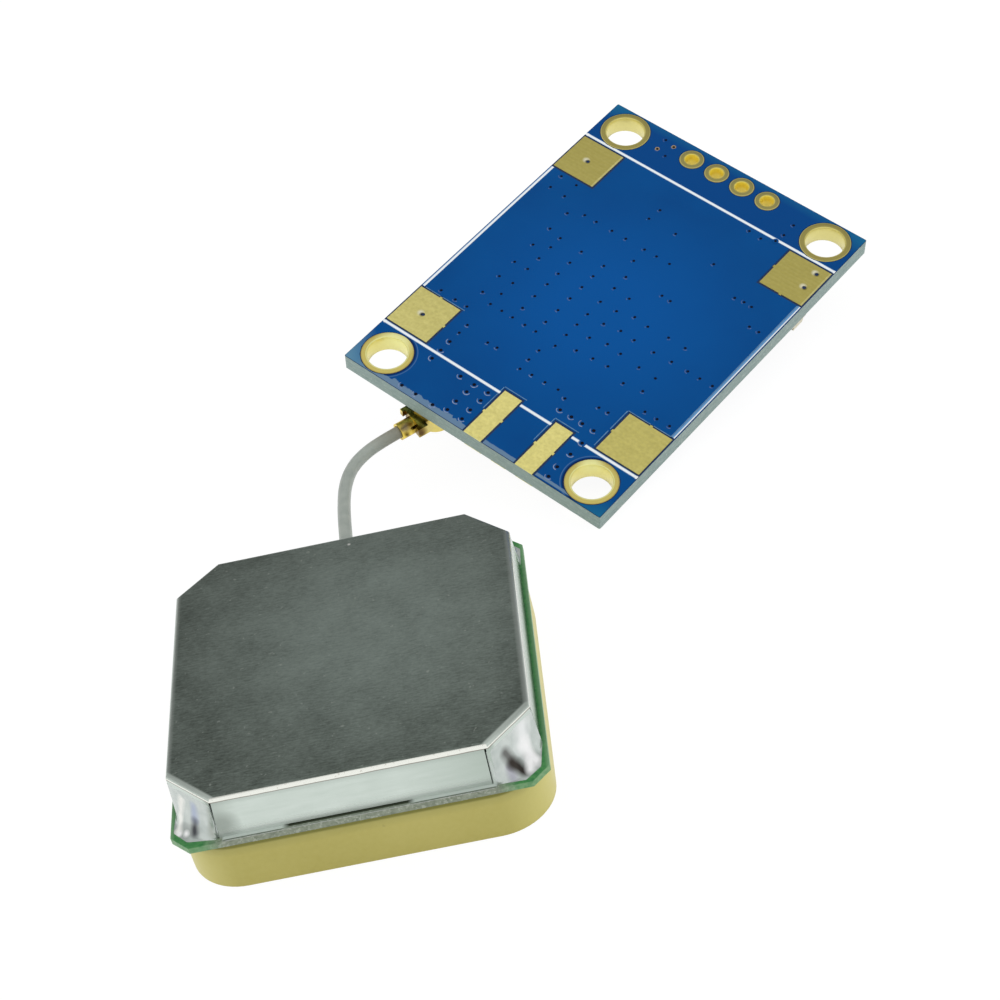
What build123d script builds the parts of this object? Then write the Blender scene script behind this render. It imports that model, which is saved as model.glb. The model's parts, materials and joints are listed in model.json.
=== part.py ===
from build123d import *
import os
from math import atan2, cos, degrees, radians, sin, tan

# A satellite positioning module: a small blue receiver board, seen from its plain side, and a
# square patch antenna, joined by a short lead of thin coaxial cable.
# The antenna lies on its ceramic face with its shield can up. The board leans beside it, held
# up by the lead and touching the floor with one corner of its underside.
# Millimetres. The origin is the centre of the ceramic's outer face, on the floor. +Z is up,
# +X runs along the can's near edge and +Y runs from the antenna towards the board.

# Ceramic patch
ceramic_side = 24.7
ceramic_height = 3.95
ceramic_corner_radius = 3.9
ceramic_edge_break = 0.06
electrode_side = 20.4
electrode_thickness = 0.05
electrode_corner_cut = 2.2
feed_from_centre = 2.6
pin_radius = 0.45
pin_clearance = 0.08
pin_head_radius = 0.9
pin_head_thickness = 0.25
pin_stand_up = 0.4
pin_solder_radius = 0.95
pin_solder_neck = 0.12

# Antenna board, stuck to the back of the ceramic
adhesive_thickness = 0.08
adhesive_margin = 0.35
antenna_board_side = 25.0
antenna_board_thickness = 0.5
antenna_board_chamfer = 1.2
strip_end_gap = 0.3
strip_width = 1.1
side_strip_width = 0.75
strip_thickness = 0.04

# Folded shield can
can_foot_side = 24.3
can_top_side = 24.0
can_chamfer = 3.0
can_height = 3.4
can_sheet = 0.2
can_bend_radius = 0.35
seam_width = 0.12
seam_from_corner = 0.12
flap_lift = 0.07
gate_width = 1.3
gate_height = 1.3
solder_gap = 0.01
solder_hollow = [(0.61, 0.11), (0.31, 0.31), (0.11, 0.61)]
corner_solder_height = 2.1
corner_solder_chamfer = 1.05
bead_width = 0.3
bead_height = 0.4
near_bead_length = 5.0

# Amplifier parts under the can
filter_side = 3.0
filter_height = 1.0
filter_edge_break = 0.1
filter_place = (4.6, 2.2)
amplifier_length = 2.0
amplifier_width = 1.25
amplifier_height = 0.9
amplifier_pitch = 1.3
amplifier_lead_height = 0.45
amplifier_foot = 0.3
amplifier_place = (-1.2, 2.6)
small_chip_length = 1.0
small_chip_width = 0.5
small_chip_height = 0.5
small_chip_end = 0.22
small_chip_places = [(-4.6, 4.4), (-4.6, 2.6), (-4.6, 0.8), (1.4, 5.4), (-1.2, 5.4), (1.6, -1.2)]

# Coaxial lead: the points of its route, from inside the plug's crimp to inside the can
cable_radius = 0.5
cable_points = [
    (4.78, 28.89, 4.27),
    (2.95, 27.88, 4.26),
    (1.30, 26.55, 4.32),
    (0.22, 24.75, 4.46),
    (-0.28, 22.50, 4.63),
    (-0.38, 19.90, 4.83),
    (-0.31, 17.00, 4.99),
    (-0.17, 14.00, 5.08),
    (-0.15, 11.10, 5.08),
]
corner_share = 0.45
braid_radius = 0.39
braid_length = 1.1
core_radius = 0.32
core_length = 0.8
wire_radius = 0.12
cable_sides = 16
wire_sides = 8
wire_length = 1.0
lead_solder_width = 1.7
lead_solder_height = 0.5
lead_solder_overlap = 0.5

# Receiver board
board_width = 25.2
board_length = 35.0
board_thickness = 1.44
board_corner_radius = 0.12
board_heading = -44.19
board_lean = 17.8
board_pitch = 5.73
mask_thickness = 0.03
mask_edge_margin = 0.04
mask_gap = 0.18
copper_thickness = 0.05
silk_thickness = 0.02
silk_width = 0.28

# Plated holes
mount_hole_radius = 1.6
mount_ring_radius = 2.08
mount_from_side = 2.5
mount_from_end = 2.25
header_pitch = 2.54
header_count = 4
header_hole_radius = 0.56
header_ring_radius = 1.02
header_from_end = 1.43
plating_wall = 0.12
ring_sides = 18
header_sides = 12

# Bare pads on the plain face
corner_pad_width = 4.05
corner_pad_length = 4.2
corner_pad_from_side = 0.14
near_pad_from_end = 4.75
far_pad_from_end = 4.93
pad_via_radius = 0.16
pad_via_sides = 8
left_via_drop = 0.05
right_via_shift = 1.1
upper_via_rise = 1.35
lower_via_drop = 0.4
pad_tab_width = 0.24
edge_pad_width = 1.65
edge_pad_length = 5.0
edge_pad_pitch = 5.0
socket_from_centre = 2.83
signal_pad_width = 1.4
signal_pad_length = 4.0

# White printed lines
header_line_from_end = 4.45
socket_line_from_end = 4.62
side_line_from_side = 0.22

# Receiver, soldered under the board
receiver_length = 16.0
receiver_width = 12.2
receiver_place = (-0.3, 1.8)
carrier_thickness = 0.8
notch_radius = 0.27
notch_sides = 8
castellation_pitch = 1.1
castellation_gap = 3.0
first_group_count = 7
second_group_count = 5
lid_margin = 0.7
lid_height = 1.6
lid_sheet = 0.15
lid_corner_radius = 0.6
lid_edge_break = 0.18
receiver_chip_side = 5.6
receiver_chip_height = 0.85
oscillator_length = 2.5
oscillator_width = 2.0
oscillator_height = 0.8
inner_part_gap = 1.6

# Coaxial connector pair
connector_from_left_side = 7.7
connector_from_socket_end = 1.65
plug_turn = 16.0
socket_base_side = 2.6
socket_base_height = 0.35
socket_base_chamfer = 0.3
socket_ring_radius = 1.0
socket_ring_wall = 0.12
socket_height = 0.88
socket_pin_radius = 0.2
socket_lug_width = 0.7
socket_lug_reach = 0.3
plug_radius = 1.45
plug_sheet = 0.2
plug_fit = 0.05
plug_lift = 0.12
plug_height = 1.95
plug_axis_height = 1.25
contact_radius = 0.4
contact_wall = 0.12
channel_sides = 8
neck_width = 1.9
crimp_from_centre = 3.4
crimp_length = 1.3
crimp_wall = 0.17
crimp_fit = 0.03
crimp_slit = 0.25
ear_length = 0.9
ear_reach = 0.35

# Backup cell
cell_from_left_side = 6.6
cell_from_header_end = 7.9
cell_radius = 3.4
cell_height = 1.55
cell_edge_break = 0.15
cell_cap_radius = 2.75
cell_cap_height = 0.45
cell_gasket_radius = 3.0
cell_gasket_height = 0.2
cell_tab_width = 2.0
cell_tab_thickness = 0.15
cell_tab_reach = 1.6
cell_tab_gap = 0.25
cell_tab_overlap = 1.9

# Memory chip
memory_from_right_side = 9.6
memory_from_header_end = 8.1
memory_length = 4.9
memory_width = 3.9
memory_height = 1.4
memory_pitch = 1.27
memory_leads_per_side = 4

# Voltage regulator
regulator_from_right_side = 3.9
regulator_from_header_end = 8.2
regulator_length = 2.9
regulator_width = 1.6
regulator_height = 1.05
regulator_pitch = 0.95

# Leads of both, bent from flat strip
lead_width = 0.4
lead_thickness = 0.18
lead_height = 0.65
lead_shoulder = 0.3
lead_slope = 0.15
lead_reach = 1.05
body_lift = 0.12
body_break = 0.2

# Status lamp at the board's edge
lamp_length = 2.0
lamp_width = 1.25
lamp_base_height = 0.35
lamp_lens_height = 0.5
lamp_lens_length = 1.3
lamp_from_side = 0.12
lamp_from_header_end = 9.1

# Chip resistors, capacitors, choke and diode
chip_length = 1.6
chip_width = 0.8
chip_end = 0.32
chip_inset = 0.02
resistor_height = 0.45
capacitor_height = 0.8
choke_height = 0.95
choke_from_connector = (1.9, 3.95)
diode_length = 1.7
diode_width = 1.25
diode_height = 0.8
diode_tab_length = 0.7
diode_clearance = 1.1
diode_from_receiver = 4.6
right_chips_from_side = 2.4
right_chip_steps = [-5.8, -4.2, -0.8, 0.8]
left_chips_from_side = 1.7
left_chip_steps = [-8.1, -6.4, -1.2, 0.6]
filter_chip_from_connector = (-0.1, 3.95)
socket_end_chips_from_end = 6.9
socket_end_resistor_x = 6.0
socket_end_capacitor_x = 4.0
supply_chip_from_right_side = 3.9
supply_chip_from_header_end = 5.2



def standing_plane(base, x, y, heading):
    """A plane that stands on base at (x, y): its own x runs along heading, its own y off base."""
    foot = base.from_local_coords(Vector(x, y, 0))
    along = base.x_dir.rotate(Axis((0, 0, 0), tuple(base.z_dir)), heading)
    return Plane(origin=foot, x_dir=along, z_dir=along.cross(base.z_dir))


def plane_at(base, x, y, turn=0):
    """The base plane with its origin moved to (x, y) on it, turned about its normal."""
    foot = base.from_local_coords(Vector(x, y, 0))
    along = base.x_dir.rotate(Axis((0, 0, 0), tuple(base.z_dir)), turn)
    return Plane(origin=foot, x_dir=along, z_dir=base.z_dir)


def lead_outline(height, reach):
    """The side view of one bent lead, from the body's side at x = 0 to the end of its foot."""
    half = lead_thickness / 2
    heel = lead_shoulder + lead_slope
    Polyline(
        (0, height - half),
        (0, height + half),
        (lead_shoulder + half, height + half),
        (heel + half, lead_thickness),
        (reach, lead_thickness),
        (reach, 0),
        (heel - half, 0),
        (lead_shoulder - half, height - half),
        close=True,
    )


def solder_outline(height, reach, back=0):
    """The side view of solder drawn up a wall from a floor at y = 0; its foot starts at x = 0."""
    hollow = [(reach * out, height * up) for out, up in solder_hollow]
    Polyline((back, height), (0, 0), (reach, 0), *hollow, close=True)


# Planes of the antenna, from the floor up
ceramic_back = Plane.XY.offset(ceramic_height)
board_seat = ceramic_back.offset(adhesive_thickness)
deck = board_seat.offset(antenna_board_thickness)
can_roof = deck.offset(can_height)

# Planes of the receiver board: it hangs on the plug, and the plug on the cable's first point
tilt = Plane(Location((0, 0, 0), (board_pitch, board_lean, board_heading), Extrinsic.XYZ))
crimp_depth = crimp_from_centre - crimp_length * 0.7
plug_run = Vector(-sin(radians(plug_turn)), cos(radians(plug_turn)))
connector_x = -board_width / 2 + connector_from_left_side
connector_y = board_length / 2 - connector_from_socket_end
hang_x = connector_x + plug_run.X * crimp_depth
hang_y = connector_y + plug_run.Y * crimp_depth
underside_origin = (
    Vector(*cable_points[0])
    - tilt.x_dir * hang_x
    + tilt.y_dir * hang_y
    + tilt.z_dir * (plug_axis_height + mask_thickness)
)
underside = Plane(origin=underside_origin, x_dir=tilt.x_dir, z_dir=-tilt.z_dir)
face = Plane(
    origin=underside_origin + tilt.z_dir * board_thickness, x_dir=tilt.x_dir, z_dir=tilt.z_dir
)
masked_underside = underside.offset(mask_thickness)
masked_face = face.offset(mask_thickness)

mount_x = board_width / 2 - mount_from_side
mount_y = board_length / 2 - mount_from_end
header_y = board_length / 2 - header_from_end
mount_places = [(x, y) for y in (mount_y, -mount_y) for x in (-mount_x, mount_x)]
header_places = [
    (header_pitch * (i - (header_count - 1) / 2), header_y) for i in range(header_count)
]
pad_x = board_width / 2 - corner_pad_from_side - corner_pad_width / 2
header_pad_y = board_length / 2 - near_pad_from_end - corner_pad_length / 2
socket_pad_y = -board_length / 2 + far_pad_from_end + corner_pad_length / 2
edge_pad_y = -board_length / 2 + edge_pad_length / 2
edge_pad_xs = [socket_from_centre - edge_pad_pitch / 2, socket_from_centre + edge_pad_pitch / 2]

# Places on the underside, where y runs towards the antenna
cell_place = (
    -board_width / 2 + cell_from_left_side,
    -board_length / 2 + cell_from_header_end,
)
memory_place = (
    board_width / 2 - memory_from_right_side,
    -board_length / 2 + memory_from_header_end,
)
regulator_place = (
    board_width / 2 - regulator_from_right_side,
    -board_length / 2 + regulator_from_header_end,
)
diode_reach = (diode_length + diode_tab_length) / 2
diode_place = (
    receiver_place[0] + receiver_length / 2 + diode_clearance + diode_reach,
    receiver_place[1] + diode_from_receiver,
)
lamp_place = (
    board_width / 2 - lamp_from_side - lamp_width / 2,
    -board_length / 2 + lamp_from_header_end,
)
choke_place = (
    connector_x + choke_from_connector[0],
    connector_y - choke_from_connector[1],
    90,
)
socket_end_chips_y = board_length / 2 - socket_end_chips_from_end
right_chips_x = board_width / 2 - right_chips_from_side
left_chips_x = -board_width / 2 + left_chips_from_side
resistor_places = [(right_chips_x, receiver_place[1] + step, 0) for step in right_chip_steps]
resistor_places += [(socket_end_resistor_x, socket_end_chips_y, 90)]
capacitor_places = [(left_chips_x, receiver_place[1] + step, 0) for step in left_chip_steps]
capacitor_places += [
    (
        connector_x + filter_chip_from_connector[0],
        connector_y - filter_chip_from_connector[1],
        90,
    ),
    (socket_end_capacitor_x, socket_end_chips_y, 90),
    (
        board_width / 2 - supply_chip_from_right_side,
        -board_length / 2 + supply_chip_from_header_end,
        0,
    ),
]

os.makedirs("parts", exist_ok=True)

# Antenna: the ceramic block with a countersunk hole for its feed pin
with BuildPart() as ceramic_patch:
    with BuildSketch():
        RectangleRounded(ceramic_side, ceramic_side, ceramic_corner_radius)
    extrude(amount=ceramic_height)
    rims = ceramic_patch.faces().filter_by(Axis.Z).edges()
    chamfer(rims, ceramic_edge_break)
    with BuildSketch():
        Rectangle(electrode_side, electrode_side)
        chamfer(vertices().group_by(Axis.X)[0].sort_by(Axis.Y)[0], electrode_corner_cut)
        chamfer(vertices().group_by(Axis.X)[-1].sort_by(Axis.Y)[-1], electrode_corner_cut)
    extrude(amount=electrode_thickness, mode=Mode.SUBTRACT)
    with Locations((0, -feed_from_centre)):
        Hole(pin_radius + pin_clearance)
    with BuildSketch():
        with Locations((0, -feed_from_centre)):
            Circle(pin_head_radius + pin_clearance)
    extrude(amount=pin_head_thickness + pin_clearance, mode=Mode.SUBTRACT)
ceramic_patch.part.label = "ceramic_patch"
export_step(ceramic_patch.part, "parts/ceramic_patch.step")

# The silver electrode fired flush into the outer face, two corners cut to tune it
with BuildPart() as patch_electrode:
    with BuildSketch():
        Rectangle(electrode_side, electrode_side)
        chamfer(vertices().group_by(Axis.X)[0].sort_by(Axis.Y)[0], electrode_corner_cut)
        chamfer(vertices().group_by(Axis.X)[-1].sort_by(Axis.Y)[-1], electrode_corner_cut)
        with Locations((0, -feed_from_centre)):
            Circle(pin_head_radius + pin_clearance, mode=Mode.SUBTRACT)
    extrude(amount=electrode_thickness)
patch_electrode.part.label = "patch_electrode"
export_step(patch_electrode.part, "parts/patch_electrode.step")

# The feed pin, headed like a nail, from the electrode through to the antenna board
pin_length = deck.origin.Z + pin_stand_up
with BuildPart() as feed_pin:
    with BuildSketch():
        with Locations((0, -feed_from_centre)):
            Circle(pin_head_radius)
    extrude(amount=pin_head_thickness)
    with BuildSketch():
        with Locations((0, -feed_from_centre)):
            Circle(pin_radius)
    extrude(amount=pin_length)
feed_pin.part.label = "feed_pin"
export_step(feed_pin.part, "parts/feed_pin.step")

# Double-sided tape between the ceramic and its board
with BuildPart() as adhesive_sheet:
    with BuildSketch(ceramic_back):
        RectangleRounded(
            ceramic_side - 2 * adhesive_margin,
            ceramic_side - 2 * adhesive_margin,
            ceramic_corner_radius - adhesive_margin,
        )
        with Locations((0, -feed_from_centre)):
            Circle(pin_head_radius, mode=Mode.SUBTRACT)
    extrude(amount=adhesive_thickness)
adhesive_sheet.part.label = "adhesive_sheet"
export_step(adhesive_sheet.part, "parts/adhesive_sheet.step")

# The green antenna board with its corners cut
with BuildPart() as antenna_board:
    with BuildSketch(board_seat):
        Rectangle(antenna_board_side, antenna_board_side)
        chamfer(vertices(), antenna_board_chamfer)
        with Locations((0, -feed_from_centre)):
            Circle(pin_radius + pin_clearance, mode=Mode.SUBTRACT)
    extrude(amount=antenna_board_thickness)
antenna_board.part.label = "antenna_board"
export_step(antenna_board.part, "parts/antenna_board.step")

# Tinned ground strips under the can's flaps: the near and far ones reach the board's edge
strip_length = 2 * (can_foot_side / 2 - can_chamfer - strip_end_gap)
with BuildPart() as ground_strips:
    with BuildSketch(deck):
        with GridLocations(0, antenna_board_side - strip_width, 1, 2):
            Rectangle(strip_length, strip_width)
        with GridLocations(can_foot_side - side_strip_width, 0, 2, 1):
            Rectangle(side_strip_width, strip_length)
    extrude(amount=strip_thickness)
ground_strips.part.label = "ground_strips"
export_step(ground_strips.part, "parts/ground_strips.step")

# The solder cone that holds the feed pin to the board
with BuildPart() as pin_solder:
    with BuildSketch(plane_at(deck, 0, -feed_from_centre)):
        Circle(pin_solder_radius)
    with BuildSketch(plane_at(deck.offset(pin_stand_up * 0.8), 0, -feed_from_centre)):
        Circle(pin_radius + pin_solder_neck)
    loft()
    with BuildSketch(plane_at(deck, 0, -feed_from_centre)):
        Circle(pin_radius)
    extrude(amount=pin_stand_up, mode=Mode.SUBTRACT)
pin_solder.part.label = "pin_solder"
export_step(pin_solder.part, "parts/pin_solder.step")

# The shield can: one folded sheet, eight-sided, its walls leaning in a little
can_lean = degrees(atan2((can_foot_side - can_top_side) / 2, can_height))
seam_height = can_height - can_bend_radius
seam_x = can_foot_side / 2 - can_chamfer - seam_from_corner
panel_distance = (can_foot_side - can_chamfer) / 2 ** 0.5
cable_gate_x = cable_points[-1][0]
with BuildPart() as shield_can:
    with BuildSketch(deck):
        Rectangle(can_foot_side, can_foot_side)
        chamfer(vertices(), can_chamfer)
    extrude(amount=can_height, taper=can_lean)
    fillet(shield_can.faces().sort_by(Axis.Z)[-1].edges(), can_bend_radius)
    offset(amount=-can_sheet, openings=shield_can.faces().sort_by(Axis.Z)[0])
    for quarter in range(4):
        side = deck.rotated((0, 0, 90 * quarter))
        with BuildSketch(side):
            with Locations((seam_x, can_foot_side / 2), (-seam_x, can_foot_side / 2)):
                Rectangle(seam_width, 4 * can_sheet)
        extrude(amount=seam_height, mode=Mode.SUBTRACT)
        with BuildSketch(side):
            with Locations((0, can_foot_side / 2)):
                Rectangle(2 * seam_x, 4 * can_sheet)
        extrude(amount=flap_lift, mode=Mode.SUBTRACT)
    with BuildSketch(standing_plane(deck, cable_gate_x, can_foot_side / 2, 0)):
        with Locations((0, (gate_height - gate_width / 2) / 2)):
            Rectangle(gate_width, gate_height - gate_width / 2)
        with Locations((0, gate_height - gate_width / 2)):
            Circle(gate_width / 2)
    extrude(amount=2 * can_sheet, both=True, mode=Mode.SUBTRACT)
shield_can.part.label = "shield_can"
export_step(shield_can.part, "parts/shield_can.step")

# Solder drawn up each corner panel of the can, and a bead along one end of the near flap
panel_length = can_chamfer * 2 ** 0.5
corner_solder_reach = (can_foot_side - corner_solder_chamfer) / 2 ** 0.5 - panel_distance
near_bead_x = (strip_length - near_bead_length) / 2
with BuildPart() as can_solder:
    for quarter in range(4):
        panel = deck.rotated((0, 0, 45 + 90 * quarter))
        with BuildSketch(standing_plane(panel, panel_distance + solder_gap, 0, 0)):
            with BuildLine():
                solder_outline(
                    corner_solder_height,
                    corner_solder_reach,
                    -corner_solder_height * tan(radians(can_lean)),
                )
            make_face()
        extrude(amount=panel_length / 2, both=True)
    with BuildSketch(deck):
        Rectangle(can_foot_side, can_foot_side)
        chamfer(vertices(), corner_solder_chamfer)
    extrude(amount=corner_solder_height, mode=Mode.INTERSECT)
    with BuildSketch(
        standing_plane(deck.offset(strip_thickness), near_bead_x, -can_foot_side / 2, -90)
    ):
        with BuildLine():
            solder_outline(bead_height, bead_width)
        make_face()
    extrude(amount=near_bead_length / 2, both=True)
can_solder.part.label = "can_solder"
export_step(can_solder.part, "parts/can_solder.step")

# Amplifier parts on the antenna board, under the can
with BuildPart() as band_filter:
    with BuildSketch(deck):
        with Locations(filter_place):
            Rectangle(filter_side, filter_side)
    extrude(amount=filter_height)
    chamfer(band_filter.faces().sort_by(Axis.Z)[-1].edges(), filter_edge_break)
band_filter.part.label = "band_filter"
export_step(band_filter.part, "parts/band_filter.step")

with BuildPart() as amplifier_chip:
    with BuildSketch(deck.offset(body_lift)):
        with Locations(amplifier_place):
            Rectangle(amplifier_length, amplifier_width)
    extrude(amount=amplifier_height)
    chamfer(amplifier_chip.faces().sort_by(Axis.Z)[-1].edges(), filter_edge_break)
amplifier_chip.part.label = "amplifier_chip"
export_step(amplifier_chip.part, "parts/amplifier_chip.step")

with BuildPart() as amplifier_leads:
    for heading in (90, -90):
        for shift in (-amplifier_pitch / 2, amplifier_pitch / 2):
            lead_x = amplifier_place[0] + shift
            lead_y = amplifier_place[1] + amplifier_width / 2 * sin(radians(heading))
            with BuildSketch(standing_plane(deck, lead_x, lead_y, heading)):
                with BuildLine():
                    lead_outline(amplifier_lead_height, lead_shoulder + lead_slope + amplifier_foot)
                make_face()
            extrude(amount=lead_width / 2, both=True)
amplifier_leads.part.label = "amplifier_leads"
export_step(amplifier_leads.part, "parts/amplifier_leads.step")

with BuildPart() as antenna_chips:
    with BuildSketch(deck):
        with Locations(*small_chip_places):
            Rectangle(small_chip_length - 2 * small_chip_end, small_chip_width)
    extrude(amount=small_chip_height)
antenna_chips.part.label = "antenna_chips"
export_step(antenna_chips.part, "parts/antenna_chips.step")

with BuildPart() as antenna_chip_ends:
    with BuildSketch(deck):
        with Locations(*small_chip_places):
            with GridLocations(small_chip_length - small_chip_end, 0, 2, 1):
                Rectangle(small_chip_end, small_chip_width)
    extrude(amount=small_chip_height)
antenna_chip_ends.part.label = "antenna_chip_ends"
export_step(antenna_chip_ends.part, "parts/antenna_chip_ends.step")

# The coaxial lead's jacket: one tube of straight runs joined by tangent arcs
route = [Vector(*point) for point in cable_points]
cable_radii = []
for before, corner, after in zip(route, route[1:], route[2:]):
    run_in = corner - before
    run_out = after - corner
    half_turn = radians(run_in.get_angle(run_out)) / 2
    cable_radii.append(corner_share * min(run_in.length, run_out.length) / tan(half_turn))
print("cable radii", [round(radius, 2) for radius in cable_radii])
plug_direction = (route[1] - route[0]).normalized()
can_direction = (route[-1] - route[-2]).normalized()
with BuildPart() as coax_cable:
    with BuildLine() as cable_line:
        FilletPolyline(*cable_points, radius=cable_radii)
    with BuildSketch(Plane(origin=route[0], z_dir=plug_direction)) as cable_section:
        RegularPolygon(cable_radius, cable_sides)
    sweep()
coax_cable.part.label = "coax_cable"
export_step(coax_cable.part, "parts/coax_cable.step")
cable_length = cable_line.wires()[0].length
print("cable length", round(cable_length, 2))
cable_volume = cable_section.sketch.area * cable_length
print("volume over section times length", coax_cable.part.volume / cable_volume)

# The lead's stripped ends: braid, then core, then the bare wire, at the plug and in the can
bared_ends = [
    Plane(origin=route[0], z_dir=-plug_direction),
    Plane(origin=route[-1], z_dir=can_direction),
]
with BuildPart() as braid_ends:
    for end in bared_ends:
        with BuildSketch(end):
            RegularPolygon(braid_radius, cable_sides)
        extrude(amount=braid_length)
braid_ends.part.label = "braid_ends"
export_step(braid_ends.part, "parts/braid_ends.step")

with BuildPart() as core_ends:
    for end in bared_ends:
        with BuildSketch(end.offset(braid_length)):
            RegularPolygon(core_radius, cable_sides)
        extrude(amount=core_length)
core_ends.part.label = "core_ends"
export_step(core_ends.part, "parts/core_ends.step")

with BuildPart() as wire_ends:
    for end in bared_ends:
        with BuildSketch(end.offset(braid_length + core_length)):
            RegularPolygon(wire_radius, wire_sides)
        extrude(amount=wire_length)
wire_ends.part.label = "wire_ends"
export_step(wire_ends.part, "parts/wire_ends.step")

# Solder that grips the braid and the wire inside the can
lead_y = route[-1].Y - braid_length / 2
wire_y = route[-1].Y - braid_length - core_length - wire_length / 2
with BuildPart() as lead_solder:
    with BuildSketch(deck):
        with Locations((cable_gate_x, lead_y)):
            Rectangle(lead_solder_width, braid_length * 0.8)
        with Locations((cable_gate_x, wire_y)):
            Rectangle(lead_solder_width / 2, wire_length * 0.8)
    extrude(amount=lead_solder_height)
    with BuildSketch(bared_ends[1].offset(-lead_solder_overlap)):
        RegularPolygon(braid_radius, cable_sides)
    extrude(amount=braid_length + lead_solder_overlap, mode=Mode.SUBTRACT)
    with BuildSketch(bared_ends[1].offset(braid_length + core_length)):
        RegularPolygon(wire_radius, wire_sides)
    extrude(amount=wire_length + lead_solder_overlap, mode=Mode.SUBTRACT)
lead_solder.part.label = "lead_solder"
export_step(lead_solder.part, "parts/lead_solder.step")

# Receiver board: the glass laminate with its drilled holes
with BuildPart() as board_laminate:
    with BuildSketch(face):
        RectangleRounded(board_width, board_length, board_corner_radius)
        with Locations(*mount_places):
            RegularPolygon(mount_hole_radius + plating_wall, ring_sides, mode=Mode.SUBTRACT)
        with Locations(*header_places):
            RegularPolygon(header_hole_radius + plating_wall, header_sides, mode=Mode.SUBTRACT)
    extrude(amount=-board_thickness)
board_laminate.part.label = "board_laminate"
export_step(board_laminate.part, "parts/board_laminate.step")

# Blue solder mask on the plain face, open round the plated rings and the bare pads
corner_pad_places = [(x, y) for y in (header_pad_y, socket_pad_y) for x in (-pad_x, pad_x)]
mask_width = board_width - 2 * mask_edge_margin
mask_length = board_length - 2 * mask_edge_margin
with BuildPart() as face_mask:
    with BuildSketch(face):
        RectangleRounded(mask_width, mask_length, board_corner_radius)
        with Locations(*mount_places):
            RegularPolygon(mount_ring_radius + mask_gap / 2, ring_sides, mode=Mode.SUBTRACT)
        with Locations(*header_places):
            RegularPolygon(header_ring_radius + mask_gap / 2, header_sides, mode=Mode.SUBTRACT)
        with Locations(*corner_pad_places):
            Rectangle(
                corner_pad_width + 2 * mask_gap, corner_pad_length + 2 * mask_gap, mode=Mode.SUBTRACT
            )
        with Locations(*[(x, edge_pad_y) for x in edge_pad_xs]):
            Rectangle(
                edge_pad_width + 2 * mask_gap, edge_pad_length + 2 * mask_gap, mode=Mode.SUBTRACT
            )
    extrude(amount=mask_thickness)
face_mask.part.label = "face_mask"
export_step(face_mask.part, "parts/face_mask.step")

# The same mask on the underside, where the parts are
with BuildPart() as underside_mask:
    with BuildSketch(underside):
        RectangleRounded(mask_width, mask_length, board_corner_radius)
        with Locations(*mount_places):
            RegularPolygon(mount_ring_radius + mask_gap / 2, ring_sides, mode=Mode.SUBTRACT)
        with Locations(*[(x, -y) for x, y in header_places]):
            RegularPolygon(header_ring_radius + mask_gap / 2, header_sides, mode=Mode.SUBTRACT)
        with Locations(*[(x, -edge_pad_y) for x in edge_pad_xs + [socket_from_centre]]):
            Rectangle(
                edge_pad_width + 2 * mask_gap, edge_pad_length + 2 * mask_gap, mode=Mode.SUBTRACT
            )
    extrude(amount=mask_thickness)
underside_mask.part.label = "underside_mask"
export_step(underside_mask.part, "parts/underside_mask.step")

# Plated mounting holes: a thin barrel with a ring on each side of the laminate
with BuildPart() as mount_plating:
    with BuildSketch(face):
        with Locations(*mount_places):
            RegularPolygon(mount_ring_radius, ring_sides)
    extrude(amount=copper_thickness)
    with BuildSketch(underside):
        with Locations(*mount_places):
            RegularPolygon(mount_ring_radius, ring_sides)
    extrude(amount=copper_thickness)
    with BuildSketch(face):
        with Locations(*mount_places):
            RegularPolygon(mount_hole_radius + plating_wall, ring_sides)
    extrude(amount=-board_thickness)
    with BuildSketch(face.offset(copper_thickness)):
        with Locations(*mount_places):
            Circle(mount_hole_radius)
    extrude(amount=-board_thickness - 2 * copper_thickness, mode=Mode.SUBTRACT)
mount_plating.part.label = "mount_plating"
export_step(mount_plating.part, "parts/mount_plating.step")

# Plated header holes, made the same way
with BuildPart() as header_plating:
    with BuildSketch(face):
        with Locations(*header_places):
            RegularPolygon(header_ring_radius, header_sides)
    extrude(amount=copper_thickness)
    with BuildSketch(underside):
        with Locations(*[(x, -y) for x, y in header_places]):
            RegularPolygon(header_ring_radius, header_sides)
    extrude(amount=copper_thickness)
    with BuildSketch(face):
        with Locations(*header_places):
            RegularPolygon(header_hole_radius + plating_wall, header_sides)
    extrude(amount=-board_thickness)
    with BuildSketch(face.offset(copper_thickness)):
        with Locations(*header_places):
            RegularPolygon(header_hole_radius, header_sides)
    extrude(amount=-board_thickness - 2 * copper_thickness, mode=Mode.SUBTRACT)
header_plating.part.label = "header_plating"
export_step(header_plating.part, "parts/header_plating.step")

# Four gold corner pads with small tabs and the open vias that sit in three of them
pad_vias = [
    (-pad_x, header_pad_y - left_via_drop),
    (pad_x + right_via_shift, header_pad_y + upper_via_rise),
    (pad_x + right_via_shift, header_pad_y - lower_via_drop),
    (-pad_x, socket_pad_y - left_via_drop),
]
pad_tabs = [
    (pad_x - corner_pad_width / 2, header_pad_y),
    (pad_x, header_pad_y - corner_pad_length / 2),
    (-pad_x, socket_pad_y + corner_pad_length / 2),
    (-pad_x + corner_pad_width / 2, socket_pad_y),
    (pad_x, socket_pad_y + corner_pad_length / 2),
    (pad_x - corner_pad_width / 2, socket_pad_y),
]
with BuildPart() as corner_pads:
    with BuildSketch(face):
        with Locations(*corner_pad_places):
            Rectangle(corner_pad_width, corner_pad_length)
        with Locations(*pad_tabs):
            Rectangle(pad_tab_width, pad_tab_width)
        with Locations(*pad_vias):
            RegularPolygon(pad_via_radius, pad_via_sides, mode=Mode.SUBTRACT)
    extrude(amount=copper_thickness)
corner_pads.part.label = "corner_pads"
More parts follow.
